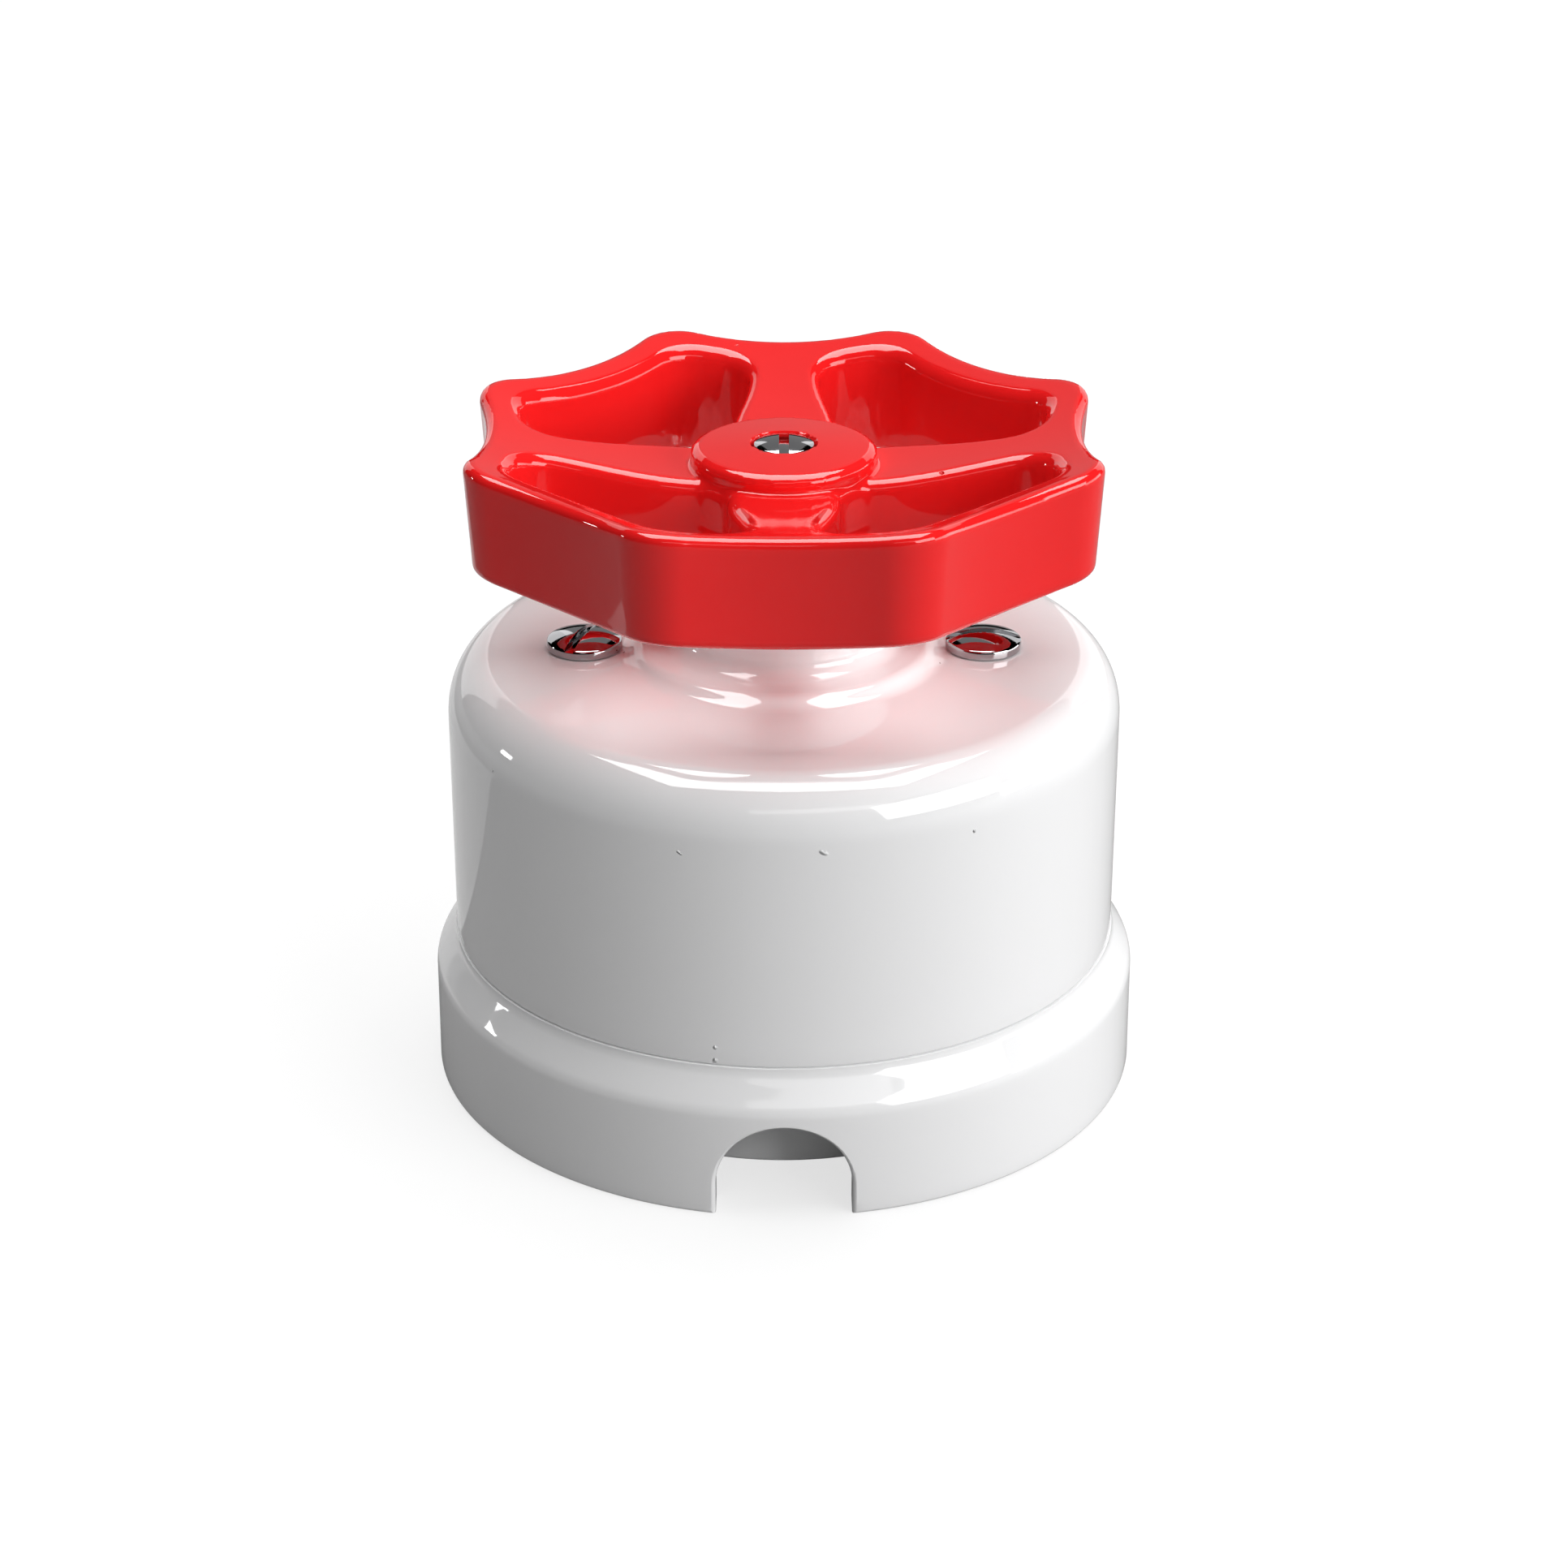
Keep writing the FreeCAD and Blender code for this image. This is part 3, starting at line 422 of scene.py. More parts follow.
def mouldedFinish():
    look = {"brown": (0.06, 0.03, 0.02), "light": (0.075, 0.036, 0.022),
            "dark": (0.035, 0.018, 0.012), "mottleSize": 2.2, "gloss": 0.42, "leastRough": 0.34,
            "mottleRough": 0.2, "poreSize": 0.35, "poreShare": 0.25, "poreHigh": 0.03}
    finish = Finish("brownMoulding", look["brown"], look["gloss"])
    mottle = finish.noise(look["mottleSize"], 4)
    finish.set("Base Color", finish.mix(mottle, look["light"], look["dark"]))
    finish.set("Roughness", mottle * look["mottleRough"] + look["leastRough"])
    pores = finish.noise(look["poreSize"])
    finish.set("Normal", finish.bump(pores, look["poreShare"], look["poreHigh"]))
    return finish


def fibreFinish():
    look = {"brown": (0.30, 0.13, 0.06), "light": (0.36, 0.17, 0.08), "dark": (0.22, 0.09, 0.04),
            "gloss": 0.7, "strandSize": 0.6, "strandStretch": 5.0, "strandShare": 0.4,
            "strandHigh": 0.05}
    finish = Finish("fibreSheet", look["brown"], look["gloss"])
    strands = finish.noise(look["strandSize"], 4, (1.0, look["strandStretch"], 1.0))
    finish.set("Base Color", finish.mix(strands, look["light"], look["dark"]))
    finish.set("Normal", finish.bump(strands, look["strandShare"], look["strandHigh"]))
    return finish


white = porcelainFinish()
red = redFinish()
chrome = metalFinish("polishedChrome", (0.52, 0.52, 0.535), 0.02, 0.04, 4.0)
brass = metalFinish("brightBrass", (0.74, 0.52, 0.22), 0.24)
steel = metalFinish("zincedSteel", (0.56, 0.56, 0.58), 0.32)
slotFinish = {"porcelain": white, "red_glaze": red, "chrome": chrome, "brass": brass,
              "steel": steel, "moulding": mouldedFinish(), "fibre": fibreFinish()}
for entry in frame["record"]["subparts"]:
    paint(nodes[entry["node"]], slotFinish[entry["material_slot"]])
print("finishes made")


# cover: turned drum with a soft elliptic shoulder, low boss and neck

cover = {
    "wall": 3.6,
    "plateauZ": 43.12,
    "shoulder": (4.45, 5.64),   # across and down
    "shoulderSteps": 22,
    "roofRound": 3.0,
    "stepFootR": 15.35,
    "stepFoot": 1.9,
    "stepR": 14.2,
    "stepZ": 44.25,
    "stepRound": 1.5,
    "neckR": 10.4,
    "neckFoot": 1.8,
    "neckEdge": 0.5,
    "bushHole": 4.65,
    "domeR": 7.8,               # the hollow under the boss
    "domeZ": 44.6,
    "roof": 3.6,
    "screwHole": 2.0,
    "screwX": 19.4,
    "footRound": 0.35,
    "turns": 224,
    "longest": 1.6,
    "sharpFrom": 32,            # degrees
}


def coverPiece():
    c = cover
    roofZ = c["plateauZ"] - c["roof"]
    across, down = c["shoulder"]
    # the wall and its quarter ellipse, then the boss, the bore and the hollow inside
    rising = [(seamR, seamZ, c["footRound"])]
    shoulder = arcPoints((seamR - across, c["plateauZ"] - down), (across, down), 0, 90,
                         c["shoulderSteps"])
    boss = [
        (c["stepFootR"], c["plateauZ"], c["stepFoot"]),
        (c["stepR"], c["stepZ"], c["stepRound"]),
        (c["neckR"], c["stepZ"], c["neckFoot"]),
        (c["neckR"], neckZ, c["neckEdge"]),
        (c["bushHole"], neckZ),
        (c["bushHole"], c["domeZ"]),
        (c["domeR"], c["domeZ"]),
        (c["domeR"], roofZ),
        (seamR - c["wall"], roofZ, c["roofRound"]),
        (seamR - c["wall"], seamZ),
    ]
    thing = turnedPiece("coverGlaze", roundedSection(rising + shoulder + boss), c)
    holes = [rod("coverHole", c["screwHole"], roofZ - cutPast, c["plateauZ"] + cutPast,
                 (side * c["screwX"], 0)) for side in (-1, 1)]
    combined(thing, holes)
    smoothShade(thing.data, c["sharpFrom"])
    paint(thing, white)
    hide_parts("cover")
    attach(thing, housing)
    return thing


coverGlaze = coverPiece()
print("cover", len(coverGlaze.data.polygons))


# foot: flange with a sloped shoulder, wiring channel, drum, columns and the arched cable notch

foot = {
    "flangeZ": 11.04,
    "flangeRound": 2.4,
    "footEdge": 0.35,
    "rimIn": 0.08,          # the top of the flange leans in by this much
    "seamOut": 0.12,
    "seamHigh": 0.55,
    "seamRound": 1.8,
    "seamEdge": 0.06,
    "flangeWall": 3.4,
    "drumR": 24.86,
    "drumWall": 3.2,
    "deck": 4.0,
    "floorZ": 4.0,
    "channelFoot": 0.3,     # roundings of the wiring channel, at the wall and at its roof
    "channelRound": 0.6,
    "spigotHigh": 2.2,
    "spigotWall": 2.0,
    "spigotRound": 0.4,
    "fitGap": 0.3,
    "columnR": 5.0,
    "columnLow": 1.0,
    "columnZ": 20.0,
    "studHole": 1.75,
    "nutWell": 3.6,
    "nutRoof": 4.2,
    "fixingR": 2.2,
    "fixingY": 17.6,
    "window": (7.0, 5.0),   # wide and tall
    "windowLow": 4.5,
    "windowTurn": 45,       # degrees from the X axis
    "turns": 320,
    "longest": 1.1,
    "sharpFrom": 32,
}
notch = {
    "arch": 6.38,
    "axis": 3.05,
    "mouth": 0.65,          # rounding of the edge at the mouth
    "foot": 0.5,            # the legs flare outwards by this much at the wall
    "below": 0.6,
    "pastWall": 1.5,
    "outside": 1.2,
    "mouthPast": (0.02, 0.03),  # sideways and outwards, so that the rounding ends off the surface
    "steps": 48,
    "legSteps": 8,
    "layers": 7,
}


def notchCutter():
    # arch pushed through the flange, flared at the mouth so that the edge is round
    n = notch
    arch = []
    for step in range(n["steps"] + 1):
        angle = math.pi * step / n["steps"]
        arch.append(((n["arch"] * math.cos(angle), n["axis"] + n["arch"] * math.sin(angle)),
                     (math.cos(angle), math.sin(angle))))
    legs = n["legSteps"]
    right = [((n["arch"], n["axis"] * (step / legs)), (1, 0)) for step in range(legs)]
    left = [((-n["arch"], n["axis"] * (1 - (step + 1) / legs)), (-1, 0)) for step in range(legs)]
    # the legs flare outwards at the wall, and the cutter reaches below it
    first, last = [((side * (n["arch"] + n["foot"]), -n["below"]), (side, 0)) for side in (1, -1)]
    path = [first] + right + arch + left + [last]
    # each layer: how far the path is pushed sideways, and its depth behind the flange's surface
    depthIn = foot["flangeWall"] + n["pastWall"]
    sideways, outwards = n["mouthPast"]
    layers = [(0, depthIn), (0, depthIn * 0.5)]
    for layer in range(n["layers"] + 1):
        angle = math.pi / 2 * layer / n["layers"]
        layers.append((n["mouth"] * (1 - math.cos(angle)),
                       n["mouth"] * (1 - math.sin(angle)) - outwards))
    layers.append((n["mouth"] + sideways, -n["outside"]))
    places = []
    for out, depth in layers:
        for (x, z), (sideX, sideZ) in path:
            across = x + sideX * out
            surface = math.sqrt(flangeR ** 2 - across ** 2)
            places.append((across * mm, -(surface - depth) * mm, (z + sideZ * out) * mm))
    count = len(path)
    faces = []
    for layer in range(len(layers) - 1):
        for index in range(count):
            after = (index + 1) % count
            faces.append((layer * count + index, layer * count + after,
                          (layer + 1) * count + after, (layer + 1) * count + index))
    faces.append(tuple(range(count)))
    outermost = (len(layers) - 1) * count
    faces.append(tuple(outermost + index for index in reversed(range(count))))
    return newObject("notchCutter", closedMesh("notchCutter", places, faces))


def basePiece():
    f = foot
    channel = flangeR - f["flangeWall"]
    spigot = seamR - cover["wall"] - f["fitGap"]
    well = f["drumR"] - f["drumWall"]
    section = roundedSection([
        (flangeR, 0, f["footEdge"]),
        (flangeR - f["rimIn"], f["flangeZ"], f["flangeRound"]),
        (seamR + f["seamOut"], seamZ - f["seamHigh"], f["seamRound"]),
        (seamR + f["seamOut"], seamZ, f["seamEdge"]),
        (spigot, seamZ),
        (spigot, seamZ + f["spigotHigh"], f["spigotRound"]),
        (spigot - f["spigotWall"], seamZ + f["spigotHigh"], f["spigotRound"]),
        (spigot - f["spigotWall"], seamZ),
        (well, seamZ),
        (well, f["floorZ"]),
        (0, f["floorZ"]),
        (0, 0),
        (f["drumR"], 0, f["channelFoot"]),
        (f["drumR"], seamZ - f["deck"], f["channelRound"]),
        (channel, seamZ - f["deck"], f["channelRound"]),
        (channel, 0, f["channelFoot"]),
    ])
    thing = turnedPiece("footGlaze", section, f)
    combined(thing, [rod("column", f["columnR"], f["columnLow"], f["columnZ"],
                         (side * cover["screwX"], 0)) for side in (-1, 1)], "UNION")
    holes = [notchCutter()]
    for side in (-1, 1):
        screwPlace = (side * cover["screwX"], 0)
        holes.append(rod("studHole", f["studHole"], -cutPast, f["columnZ"] + cutPast, screwPlace))
        holes.append(rod("nutRecess", f["nutWell"], -cutPast, f["nutRoof"], screwPlace))
        holes.append(rod("fixingHole", f["fixingR"], -cutPast, f["floorZ"] + cutPast,
                         (0, side * f["fixingY"])))
    wide, tall = f["window"]
    middle = (f["drumR"] - f["drumWall"] / 2, 0, f["windowLow"] + tall / 2)
    for quarter in range(4):
        holes.append(bar("window", f["drumWall"] + cutPast, wide, tall, middle,
                         f["windowTurn"] + 90 * quarter))
    combined(thing, holes)
    smoothShade(thing.data, f["sharpFrom"])
    paint(thing, white)
    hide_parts("base")
    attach(thing, housing)
    return thing


footGlaze = basePiece()
print("foot", len(footGlaze.data.polygons))


# knob: the handwheel is one surface, given by a distance rule and drawn onto it vertex by vertex

knob = {
    "dishZ": 61.64,
    "dishRise": 0.004636,       # height gained with the square of the radius
    "thick": 10.72,
    "lobes": 8,
    "lobeTip": 31.75,
    "valley": 28.61,
    "nose": 5.6,                # radius of a lobe's arc
    "outlineZ": 68.0,           # the height at which the outline has these radii
    "draft": 3.4,               # degrees
    "gapTip": 27.2,             # the outline of the openings
    "gapValley": 24.65,
    "gapNose": 4.2,
    "gapCorner": 3.2,
    "gapRoot": 1.3,
    "rimRound": 1.2,
    "footRound": 0.6,
    "spokeRoot": 5.25,          # half widths
    "spokeTip": 3.5,
    "spokeStart": 9.0,
    "spokeRun": 13.0,
    "hubR": 8.6,
    "hubRound": 0.8,
    "hubFillet": 1.6,
    "neckR": 7.8,
    "neckReach": 1.9,
    "neckFillet": 1.7,
    "capR": 9.0,
    "capLow": 62.35,
    "capTop": 64.3,
    "capBall": 60.0,
    "capRound": 0.75,
    "capUnder": 0.9,
    "capFillet": 0.7,
    "wellR": 2.98,
    "wellZ": 62.0,
    "wellRound": 0.14,
    "holeR": 1.75,
    "boreR": 3.05,
    "boreZ": 60.5,
    "flatX": 2.35,
    "flatZ": 51.5,
    "voxel": 0.36,
    "laps": 9,
    "settleLaps": 3,            # the last laps, in which nothing slides along the surface
    "slide": 0.5,
    "longestMove": 0.3,
    "leastSlope": 0.2,          # squared
    "slopeStep": 0.004,
    "sharpFrom": 50,
}


def roundMost(first, second, radius):
    # the larger of two distances, with a round edge
    inside = np.minimum(-radius, np.maximum(first, second))
    return inside + np.hypot(np.maximum(radius + first, 0), np.maximum(radius + second, 0))


def roundLeast(first, second, radius):
    # the smaller of two distances, with a round hollow
    outside = np.maximum(radius, np.minimum(first, second))
    return outside - np.hypot(np.maximum(radius - first, 0), np.maximum(radius - second, 0))


def lobed(x, y, tip, valley, nose):
    # distance from an outline of eight tangent lobe and valley arcs
    half = math.pi / knob["lobes"]
    centre = tip - nose
    flat = (nose ** 2 - centre ** 2 - valley ** 2 + 2 * centre * valley * math.cos(half)) \
        / (2 * valley - 2 * centre * math.cos(half) - 2 * nose)
    radius = np.hypot(x, y)
    turn = np.abs((np.arctan2(y, x) + half) % (2 * half) - half)   # angle from the nearest valley
    along = radius * np.cos(turn)
    across = radius * np.sin(turn)
    lobeX, lobeY = centre * math.cos(half), centre * math.sin(half)
    hollowX = valley + flat
    lobeSide = np.hypot(along - lobeX, across - lobeY) - nose
    valleySide = flat - np.hypot(along - hollowX, across)
    # the line through both arcs' centres parts the two
    side = (lobeX - hollowX) * across - lobeY * (along - hollowX)
    return np.where(side < 0, lobeSide, valleySide)


def knobDistance(p):
    # how far each point lies outside the knob's surface, in millimetres
    k = knob
    x, y, z = p[:, 0], p[:, 1], p[:, 2]
    radius = np.hypot(x, y)
    topZ = k["dishZ"] + k["dishRise"] * radius ** 2
    lean = np.sqrt(1 + (2 * k["dishRise"] * radius) ** 2)
    top = (z - topZ) / lean
    under = (topZ - k["thick"] - z) / lean
    draft = math.radians(k["draft"])
    rim = lobed(x, y, k["lobeTip"], k["valley"], k["nose"]) + (k["outlineZ"] - z) * math.tan(draft)
    # one outline for all openings, parted by the spokes and the hub
    opening = lobed(x, y, k["gapTip"], k["gapValley"], k["gapNose"])
    for along, across in ((x, y), (y, x)):
        share = np.clip((np.abs(along) - k["spokeStart"]) / k["spokeRun"], 0, 1)
        half = k["spokeRoot"] + (k["spokeTip"] - k["spokeRoot"]) * share * share * (3 - 2 * share)
        opening = roundMost(opening, half - np.abs(across), k["gapCorner"])
    opening = roundMost(opening, k["hubR"] - radius, k["gapRoot"])
    side = np.maximum(rim * math.cos(draft), -opening)
    wheel = np.maximum(roundMost(top, side, k["rimRound"]), roundMost(under, side, k["footRound"]))
    skirt = np.maximum(radius - k["hubR"], z - k["dishZ"] + k["thick"] / 2)
    wheel = roundLeast(wheel, roundMost(skirt, knobLow - z, k["hubRound"]), k["hubFillet"])
    neck = np.maximum(radius - k["neckR"], np.abs(z - k["dishZ"]) - k["neckReach"])
    wheel = roundLeast(wheel, neck, k["neckFillet"])
    ball = np.hypot(radius, z - k["capTop"] + k["capBall"]) - k["capBall"]
    cap = roundMost(radius - k["capR"], ball, k["capRound"])
    wheel = roundLeast(wheel, roundMost(cap, k["capLow"] - z, k["capUnder"]), k["capFillet"])
    # the screw's recess and hole, and the spindle's bore, which has a flat side above flatZ
    wheel = roundMost(wheel, -np.maximum(radius - k["wellR"], k["wellZ"] - z), k["wellRound"])
    hole = np.maximum(radius - k["holeR"], k["boreZ"] - cutPast - z)
    bore = np.maximum(radius - k["boreR"], z - k["boreZ"])
    bore = np.maximum(bore, np.where(z > k["flatZ"], x - k["flatX"], -k["boreR"]))
    return np.maximum(wheel, -np.minimum(hole, bore))


def knobSlope(p):
    step = knob["slopeStep"]
    slope = np.empty_like(p)
    for axis in range(3):
        shift = np.zeros(3)
        shift[axis] = step
        slope[:, axis] = (knobDistance(p + shift) - knobDistance(p - shift)) / (2 * step)
    return slope


def knobPiece():
    # an even skin of small faces over the CAD knob, whose vertices are drawn onto the surface
    k = knob
    mesh = nodes["knob"].data.copy()
    cleanMesh(mesh)
    thing = newObject("handwheelGlaze", mesh)
    skin = thing.modifiers.new("skin", "REMESH")
    skin.mode = "VOXEL"
    skin.voxel_size = k["voxel"] * mm
    applied(thing)
    mesh = thing.data
    p = np.empty(len(mesh.vertices) * 3)
    mesh.vertices.foreach_get("co", p)
    p = p.reshape(-1, 3) / mm
    ends = np.empty(len(mesh.edges) * 2, int)
    mesh.edges.foreach_get("vertices", ends)
    ends = ends.reshape(-1, 2)
    neighbours = np.bincount(ends.ravel(), minlength=len(p))[:, None]
    for lap in range(k["laps"]):
        if lap < k["laps"] - k["settleLaps"]:
            # each vertex slides towards the middle of its neighbours
            total = np.zeros_like(p)
            for first, last in ((0, 1), (1, 0)):
                for axis in range(3):
                    total[:, axis] += np.bincount(ends[:, first], p[ends[:, last], axis], len(p))
            slide = (total / neighbours - p) * k["slide"]
            slope = knobSlope(p)
            normal = slope / np.maximum(np.linalg.norm(slope, axis=1), 1e-6)[:, None]
            p += slide - normal * (slide * normal).sum(1)[:, None]
        slope = knobSlope(p)
        square = np.maximum((slope ** 2).sum(1), k["leastSlope"])
        move = -slope * (knobDistance(p) / square)[:, None]
        p += np.clip(move, -k["longestMove"], k["longestMove"])
    mesh.vertices.foreach_set("co", (p * mm).ravel())
    mesh.update()
    cleanMesh(mesh)
    smoothShade(mesh, k["sharpFrom"])
    paint(thing, red)
    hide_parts("knob")
    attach(thing, turning)
    furthest = float(np.abs(knobDistance(p)).max())
    print("knob", len(mesh.polygons), "furthest from its surface", round(furthest, 3))


knobPiece()


# screws: turned heads with one sawn slot

screwLook = {
    "slotWide": 0.95,
    "slotDeep": 1.0,
    "slotLong": 2.4,        # times the head's radius
    "slotEdge": 0.07,
    "edgeFrom": 50,         # degrees
    "edgeSegments": 2,
    "underRound": 0.15,
    "tipRound": 0.2,
    "rimSteps": 8,
    "crownSteps": 14,
    "turns": 96,
    "longest": 0.8,
    "sharpFrom": 40,
}


def screwPiece(name, size, seat, top, tip):
    # low crown over a straight rim with a round edge, slot along X
    s = screwLook
    radius, edge = size["head"], size["edge"]
    rise = top - seat - size["rim"]
    ballR = (radius ** 2 + rise ** 2) / (2 * rise)
    inner = radius - edge
    lean = math.degrees(math.asin(inner / ballR))
    height = top - ballR + math.sqrt(ballR ** 2 - inner ** 2)
    middle = (inner - edge * math.sin(math.radians(lean)),
              height - edge * math.cos(math.radians(lean)))
    corner = arcPoints(middle, (edge, edge), 0, 90 - lean, s["rimSteps"])
    reach = math.degrees(math.asin(corner[-1][0] / ballR))
    crown = arcPoints((0, corner[-1][1] - ballR * math.cos(math.radians(reach))),
                      (ballR, ballR), 90 - reach, 90, s["crownSteps"])
    below = [(0, tip), (size["shank"], tip, s["tipRound"]), (size["shank"], seat),
             (corner[0][0], seat, s["underRound"])]
    thing = turnedPiece(name, roundedSection(below + corner + crown[1:]), s)
    slotLong = s["slotLong"] * radius
    combined(thing, [bar("slot", slotLong, s["slotWide"], 2 * s["slotDeep"], (0, 0, top))])
    bevel = thing.modifiers.new("edge", "BEVEL")
    bevel.width = s["slotEdge"] * mm
    bevel.segments = s["edgeSegments"]
    bevel.limit_method = "ANGLE"
    bevel.angle_limit = math.radians(s["edgeFrom"])
    applied(thing)
    smoothShade(thing.data, s["sharpFrom"])
    return thing


class Tree:
    # one Geometry Nodes tree, built with the same kind of calls as a finish
    def __init__(self, name):
        self.group = bpy.data.node_groups.new(name, "GeometryNodeTree")
        self.group.interface.new_socket("Geometry", in_out="OUTPUT",
                                        socket_type="NodeSocketGeometry")
        self.inputs = {}
        self.start = self.group.nodes.new("NodeGroupInput")

    def input(self, name, kind, value=None):
        socket = self.group.interface.new_socket(name, in_out="INPUT", socket_type=kind)
        if value is not None:
            socket.default_value = value
        self.inputs[name] = socket.identifier
        return self.start.outputs[name]

    def add(self, kind, values=(), output=0, **settings):
        node = self.group.nodes.new(kind)
        for setting, value in settings.items():
            setattr(node, setting, value)
        pairs = values.items() if isinstance(values, dict) else enumerate(values)
        for socket, value in pairs:
            if isinstance(value, bpy.types.NodeSocket):
                self.group.links.new(value, node.inputs[socket])
            else:
                node.inputs[socket].default_value = value
        return node.outputs[output]

    def end(self, geometry):
        last = self.group.nodes.new("NodeGroupOutput")
        self.group.links.new(geometry, last.inputs[0])


def placedPair():
    # two like pieces on a line, each turned by its own angle
    tree = Tree("placedPair")
    master = tree.input("Piece", "NodeSocketObject")
    spread = tree.input("Spread", "NodeSocketFloat", 0.02)
    leftTurn = tree.input("Left turn", "NodeSocketFloat", 0.0)
    rightTurn = tree.input("Right turn", "NodeSocketFloat", 0.0)
    finishInput = tree.input("Finish", "NodeSocketMaterial")
    left = tree.add("ShaderNodeMath", [spread, -1.0], operation="MULTIPLY")
    start = tree.add("ShaderNodeCombineXYZ", [left, 0.0, 0.0])
    end = tree.add("ShaderNodeCombineXYZ", [spread, 0.0, 0.0])
    line = tree.add("GeometryNodeMeshLine", {"Count": 2, "Start Location": start, "Offset": end},
                    mode="END_POINTS")
    index = tree.add("GeometryNodeInputIndex")
    # a Mix node of numbers has them at its inputs 2 and 3
    turn = tree.add("ShaderNodeMix", {0: index, 2: leftTurn, 3: rightTurn}, data_type="FLOAT")
    angles = tree.add("ShaderNodeCombineXYZ", [0.0, 0.0, turn])
    info = tree.add("GeometryNodeObjectInfo", {"Object": master}, "Geometry")
    copies = tree.add("GeometryNodeInstanceOnPoints",
                      {"Points": line, "Instance": info, "Rotation": angles})
    solid = tree.add("GeometryNodeRealizeInstances", [copies])
    tree.end(tree.add("GeometryNodeSetMaterial", {"Geometry": solid, "Material": finishInput}))
    return tree


pairTree = placedPair()


def pairPiece(name, node, master, spread, finish, leftTurn, rightTurn):
    thing = newObject(name, bpy.data.meshes.new(name))
    maker = thing.modifiers.new("pair", "NODES")
    maker.node_group = pairTree.group
    chosen = {"Piece": master, "Spread": spread * mm, "Left turn": math.radians(leftTurn),
              "Right turn": math.radians(rightTurn), "Finish": finish.material}
    for word, value in chosen.items():
        maker[pairTree.inputs[word]] = value
    applied(thing)
    bpy.data.objects.remove(master)
    smoothShade(thing.data, screwLook["sharpFrom"])
    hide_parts(node)
    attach(thing, housing)
    print(name, len(thing.data.polygons))


# the slots' angles are in degrees from the X axis, "above" is the height over the CAD screw
coverScrewSize = {"head": 3.85, "shank": 1.7, "rim": 0.80, "edge": 0.40, "seatUp": 0.08,
                  "leftSlot": 68.0, "rightSlot": 0.0}
coverScrew = screwPiece("screwMaster", coverScrewSize, cover["plateauZ"] + coverScrewSize["seatUp"],
                        high("cover_screws"), low("cover_screws"))
pairPiece("chromeCoverScrews", "cover_screws", coverScrew, cover["screwX"], chrome,
          coverScrewSize["leftSlot"], coverScrewSize["rightSlot"])

knobScrewSize = {"head": 2.98, "shank": 1.45, "rim": 2.05, "edge": 0.20, "above": 0.80,
                 "slot": 90.0}
hubScrew = screwPiece("chromeKnobScrew", knobScrewSize, knob["wellZ"],
                      high("knob_screw") + knobScrewSize["above"], low("knob_screw"))
hubScrew.data.transform(Matrix.Rotation(math.radians(knobScrewSize["slot"]), 4, "Z"))
paint(hubScrew, chrome)
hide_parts("knob_screw")
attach(hubScrew, turning)
print("screws made")


# camera at the photograph's place; frame and focal are in pixels, rise in degrees

view = {"frame": 1932, "focal": 4329.0, "rise": 25.11, "away": 348.2, "aimZ": 28.41,
        "sensor": 36.0, "clipStart": 10.0}


def photoCamera():
    rise = math.radians(view["rise"])
    aim = Vector((0, 0, view["aimZ"])) * mm
    place = aim + Vector((0, -math.cos(rise), math.sin(rise))) * view["away"] * mm
    camera = newObject("photoCamera", bpy.data.cameras.new("photoCamera"))
    camera.location = place
    camera.rotation_euler = (aim - place).to_track_quat("-Z", "Y").to_euler()
    camera.data.sensor_width = view["sensor"]
    camera.data.lens = view["focal"] / view["frame"] * view["sensor"]
    camera.data.clip_start = view["clipStart"] * mm
    bpy.context.scene.camera = camera


photoCamera()


# studio: white paper that only the camera sees, a grey table for the bounce, and soft boxes

studio = {
    "floorHalf": 5.0,
    "domeR": 9.0,
    "domeCuts": 4,
    "domeGlow": 1.05,
    "paperWhite": 0.28,
    "paperGlow": 0.70,
    "tableGrey": 0.25,
    "tableDown": 0.001,
    "surround": 0.18,
    "aimUp": 0.03,
    # name: azimuth from the camera's side, elevation, distance, width, height and radiance
    "boxes": {
        "rightBox": (53, 19, 1.0, 0.76, 0.42, 6.5),
        "rightLow": (98, 2, 1.2, 1.10, 0.50, 3.6),
        "front": (12, 31, 1.2, 0.90, 0.16, 1.6),
        "leftLamp": (-103, 7, 1.0, 0.10, 0.08, 18.0),
        "rearLeft": (-153, 8, 1.2, 0.60, 1.0, 1.0),
        "rearRight": (153, 8, 1.2, 0.60, 1.0, 1.0),
        "rearGrey": (180, 33, 1.2, 0.66, 1.1, 0.27),
    },
    # name: height, left, right, near and far edge, radiance, and whether it lights the gloss
    # alone or all but the gloss; those overhead shine down and the one on the floor up
    "overhead": {
        "overheadLeft": (1.0, -0.52, 0.0, -0.28, 0.60, 2.6, False),
        "overheadRight": (1.0, 0.0, 0.55, -0.28, 0.60, 3.15, False),
        "overheadGloss": (1.02, -0.52, 0.55, -0.35, 0.60, 8.0, True),
    },
    "floorGlow": (0.0005, -0.12, -0.03, 0.02, 0.40, 0.4, True),
}


def areaLamp(name, place, aim, wide, tall, radiance):
    # a soft box given by its radiance: the lamp's power is that times pi and its area
    lamp = bpy.data.lights.new(name, "AREA")
    lamp.shape = "RECTANGLE"
    lamp.size = wide
    lamp.size_y = tall
    lamp.energy = radiance * math.pi * wide * tall
    thing = newObject(name, lamp)
    thing.location = place
    thing.rotation_euler = (Vector(aim) - Vector(place)).to_track_quat("-Z", "Y").to_euler()
    return thing


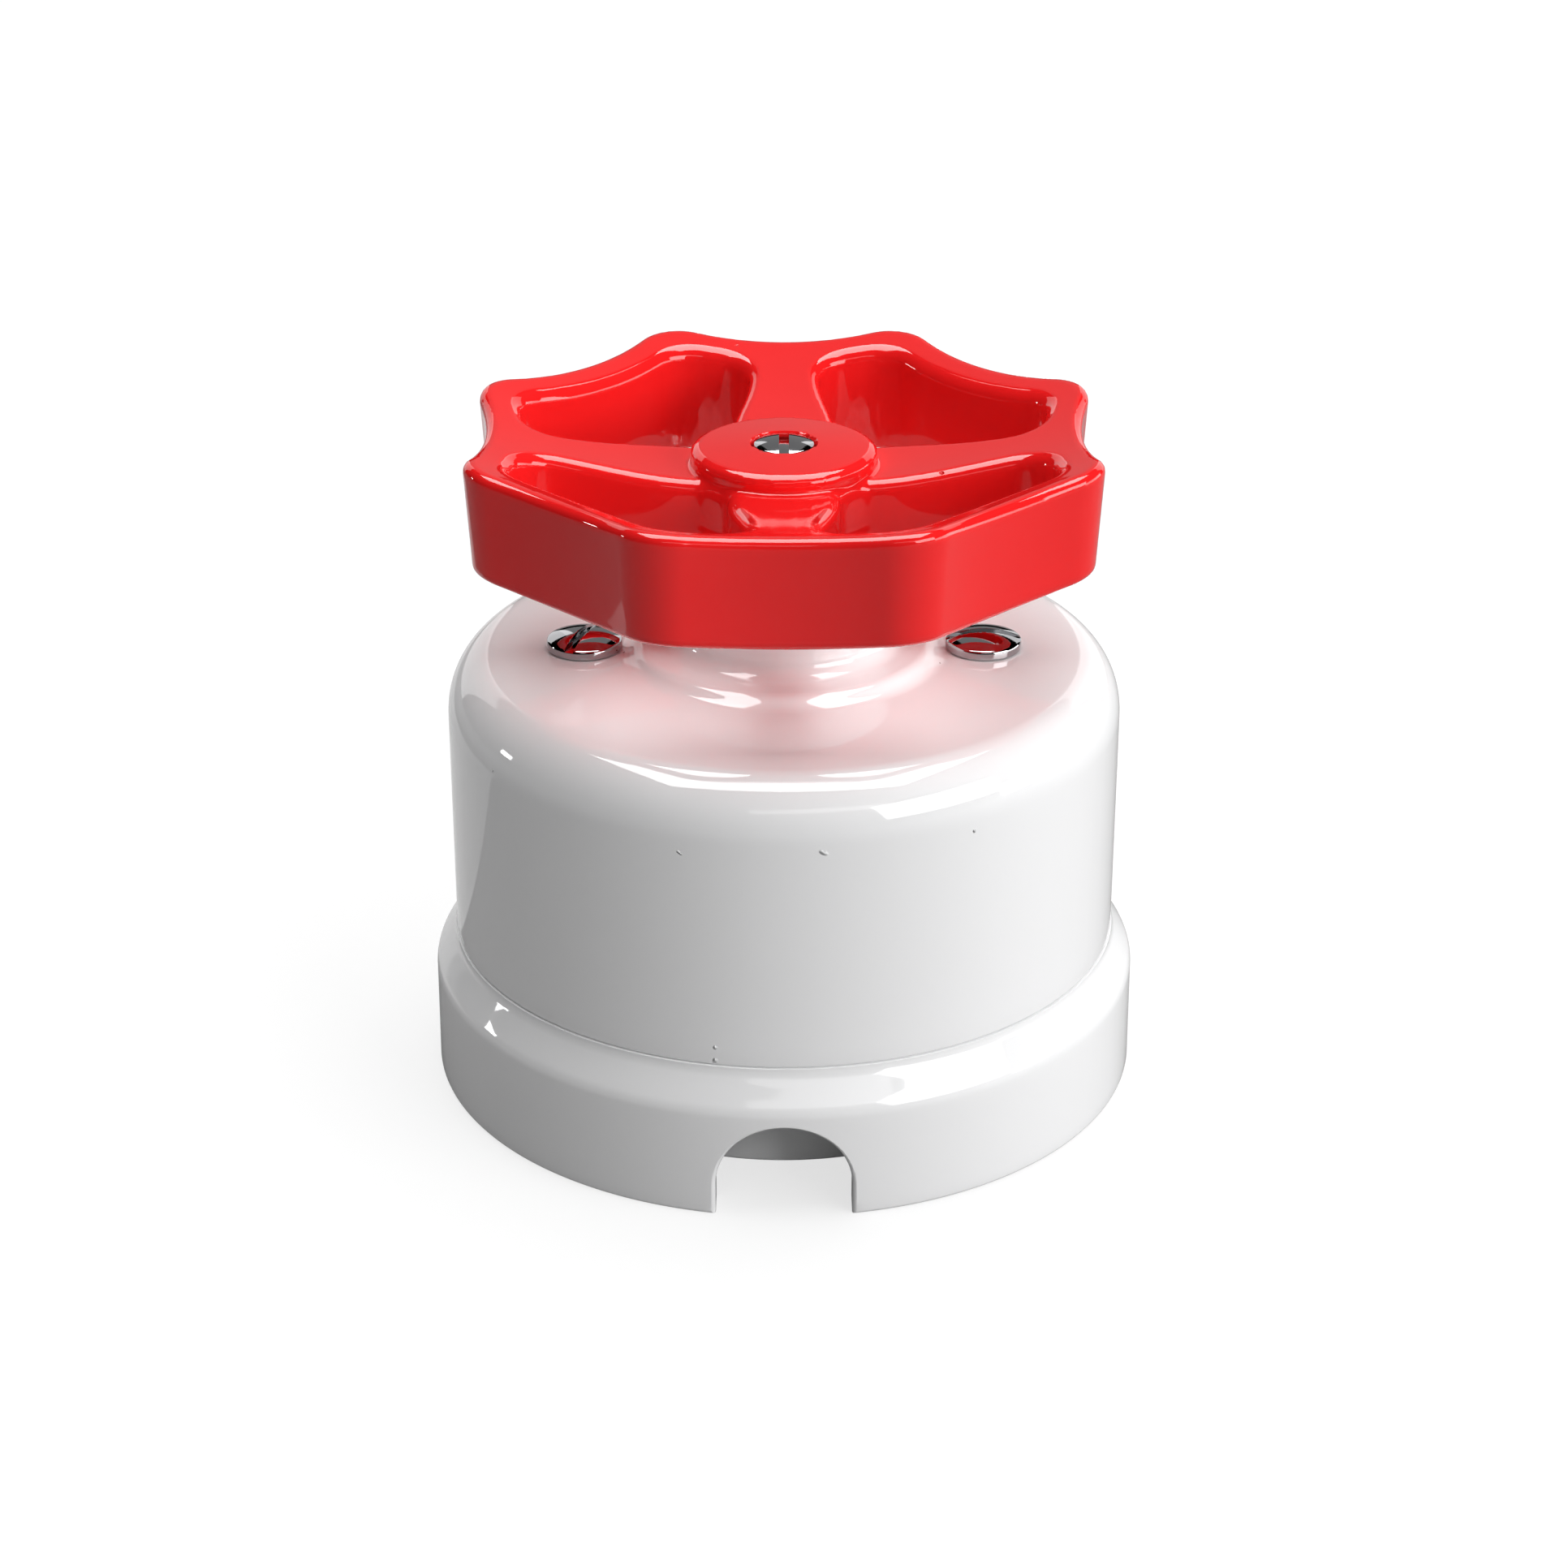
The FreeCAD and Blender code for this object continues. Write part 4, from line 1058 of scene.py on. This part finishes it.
def softBox(name, azimuth, elevation, away, wide, tall, radiance):
    turn, rise = math.radians(azimuth), math.radians(elevation)
    middle = Vector((0, 0, studio["aimUp"]))
    outward = Vector((math.sin(turn) * math.cos(rise), -math.cos(turn) * math.cos(rise),
                      math.sin(rise)))
    areaLamp(name, middle + outward * away, middle, wide, tall, radiance)


def flatLamp(name, aimZ, height, left, right, near, far, radiance, glossOnly):
    # level lamp that the camera doesn't see
    x, y = (left + right) / 2, (near + far) / 2
    lamp = areaLamp(name, (x, y, height), (x, y, aimZ), right - left, far - near, radiance)
    lamp.visible_diffuse = not glossOnly
    lamp.visible_glossy = glossOnly
    lamp.visible_camera = False


def stagePiece(name, mesh, finish):
    thing = newObject(name, mesh)
    paint(thing, finish)
    return thing


def flatSheet(name, half, height, colour, **fixed):
    mesh = bpy.data.meshes.new(name)
    mesh.from_pydata([(-half, -half, height), (half, -half, height),
                      (half, half, height), (-half, half, height)], [], [(0, 1, 2, 3)])
    return stagePiece(name, mesh, Finish(name + "Finish", colour, 1.0, **fixed))


def cameraOnly(thing):
    thing.visible_diffuse = thing.visible_glossy = thing.visible_shadow = False


def studioSet():
    s = studio
    paper = flatSheet("whitePaper", s["floorHalf"], 0, (s["paperWhite"],) * 3,
                      Emission_Color=(1, 1, 1, 1), Emission_Strength=s["paperGlow"])
    cameraOnly(paper)
    table = flatSheet("greyTable", s["floorHalf"], -s["tableDown"], (s["tableGrey"],) * 3)
    table.visible_camera = False
    mesh = basicMesh("whiteDome", bmesh.ops.create_icosphere, subdivisions=s["domeCuts"],
                     radius=s["domeR"])
    shine = Finish("domeFinish", (0, 0, 0), 1.0, Emission_Color=(1, 1, 1, 1),
                   Emission_Strength=s["domeGlow"])
    dome = stagePiece("whiteDome", mesh, shine)
    cameraOnly(dome)
    dome.visible_transmission = False
    for boxName, values in s["boxes"].items():
        softBox(boxName, *values)
    for lampName, values in s["overhead"].items():
        flatLamp(lampName, 0, *values)
    flatLamp("floorGlow", 1, *s["floorGlow"])
    world = bpy.data.worlds.new("studioWorld")
    world.use_nodes = True
    background = world.node_tree.nodes["Background"].inputs
    background["Color"].default_value = (1, 1, 1, 1)
    background["Strength"].default_value = s["surround"]
    # the soft surround fills the shade, the gloss sees only the lamps
    world.cycles_visibility.glossy = False
    bpy.context.scene.world = world
    bpy.context.scene.view_settings.view_transform = "Standard"


studioSet()
print("studio set")
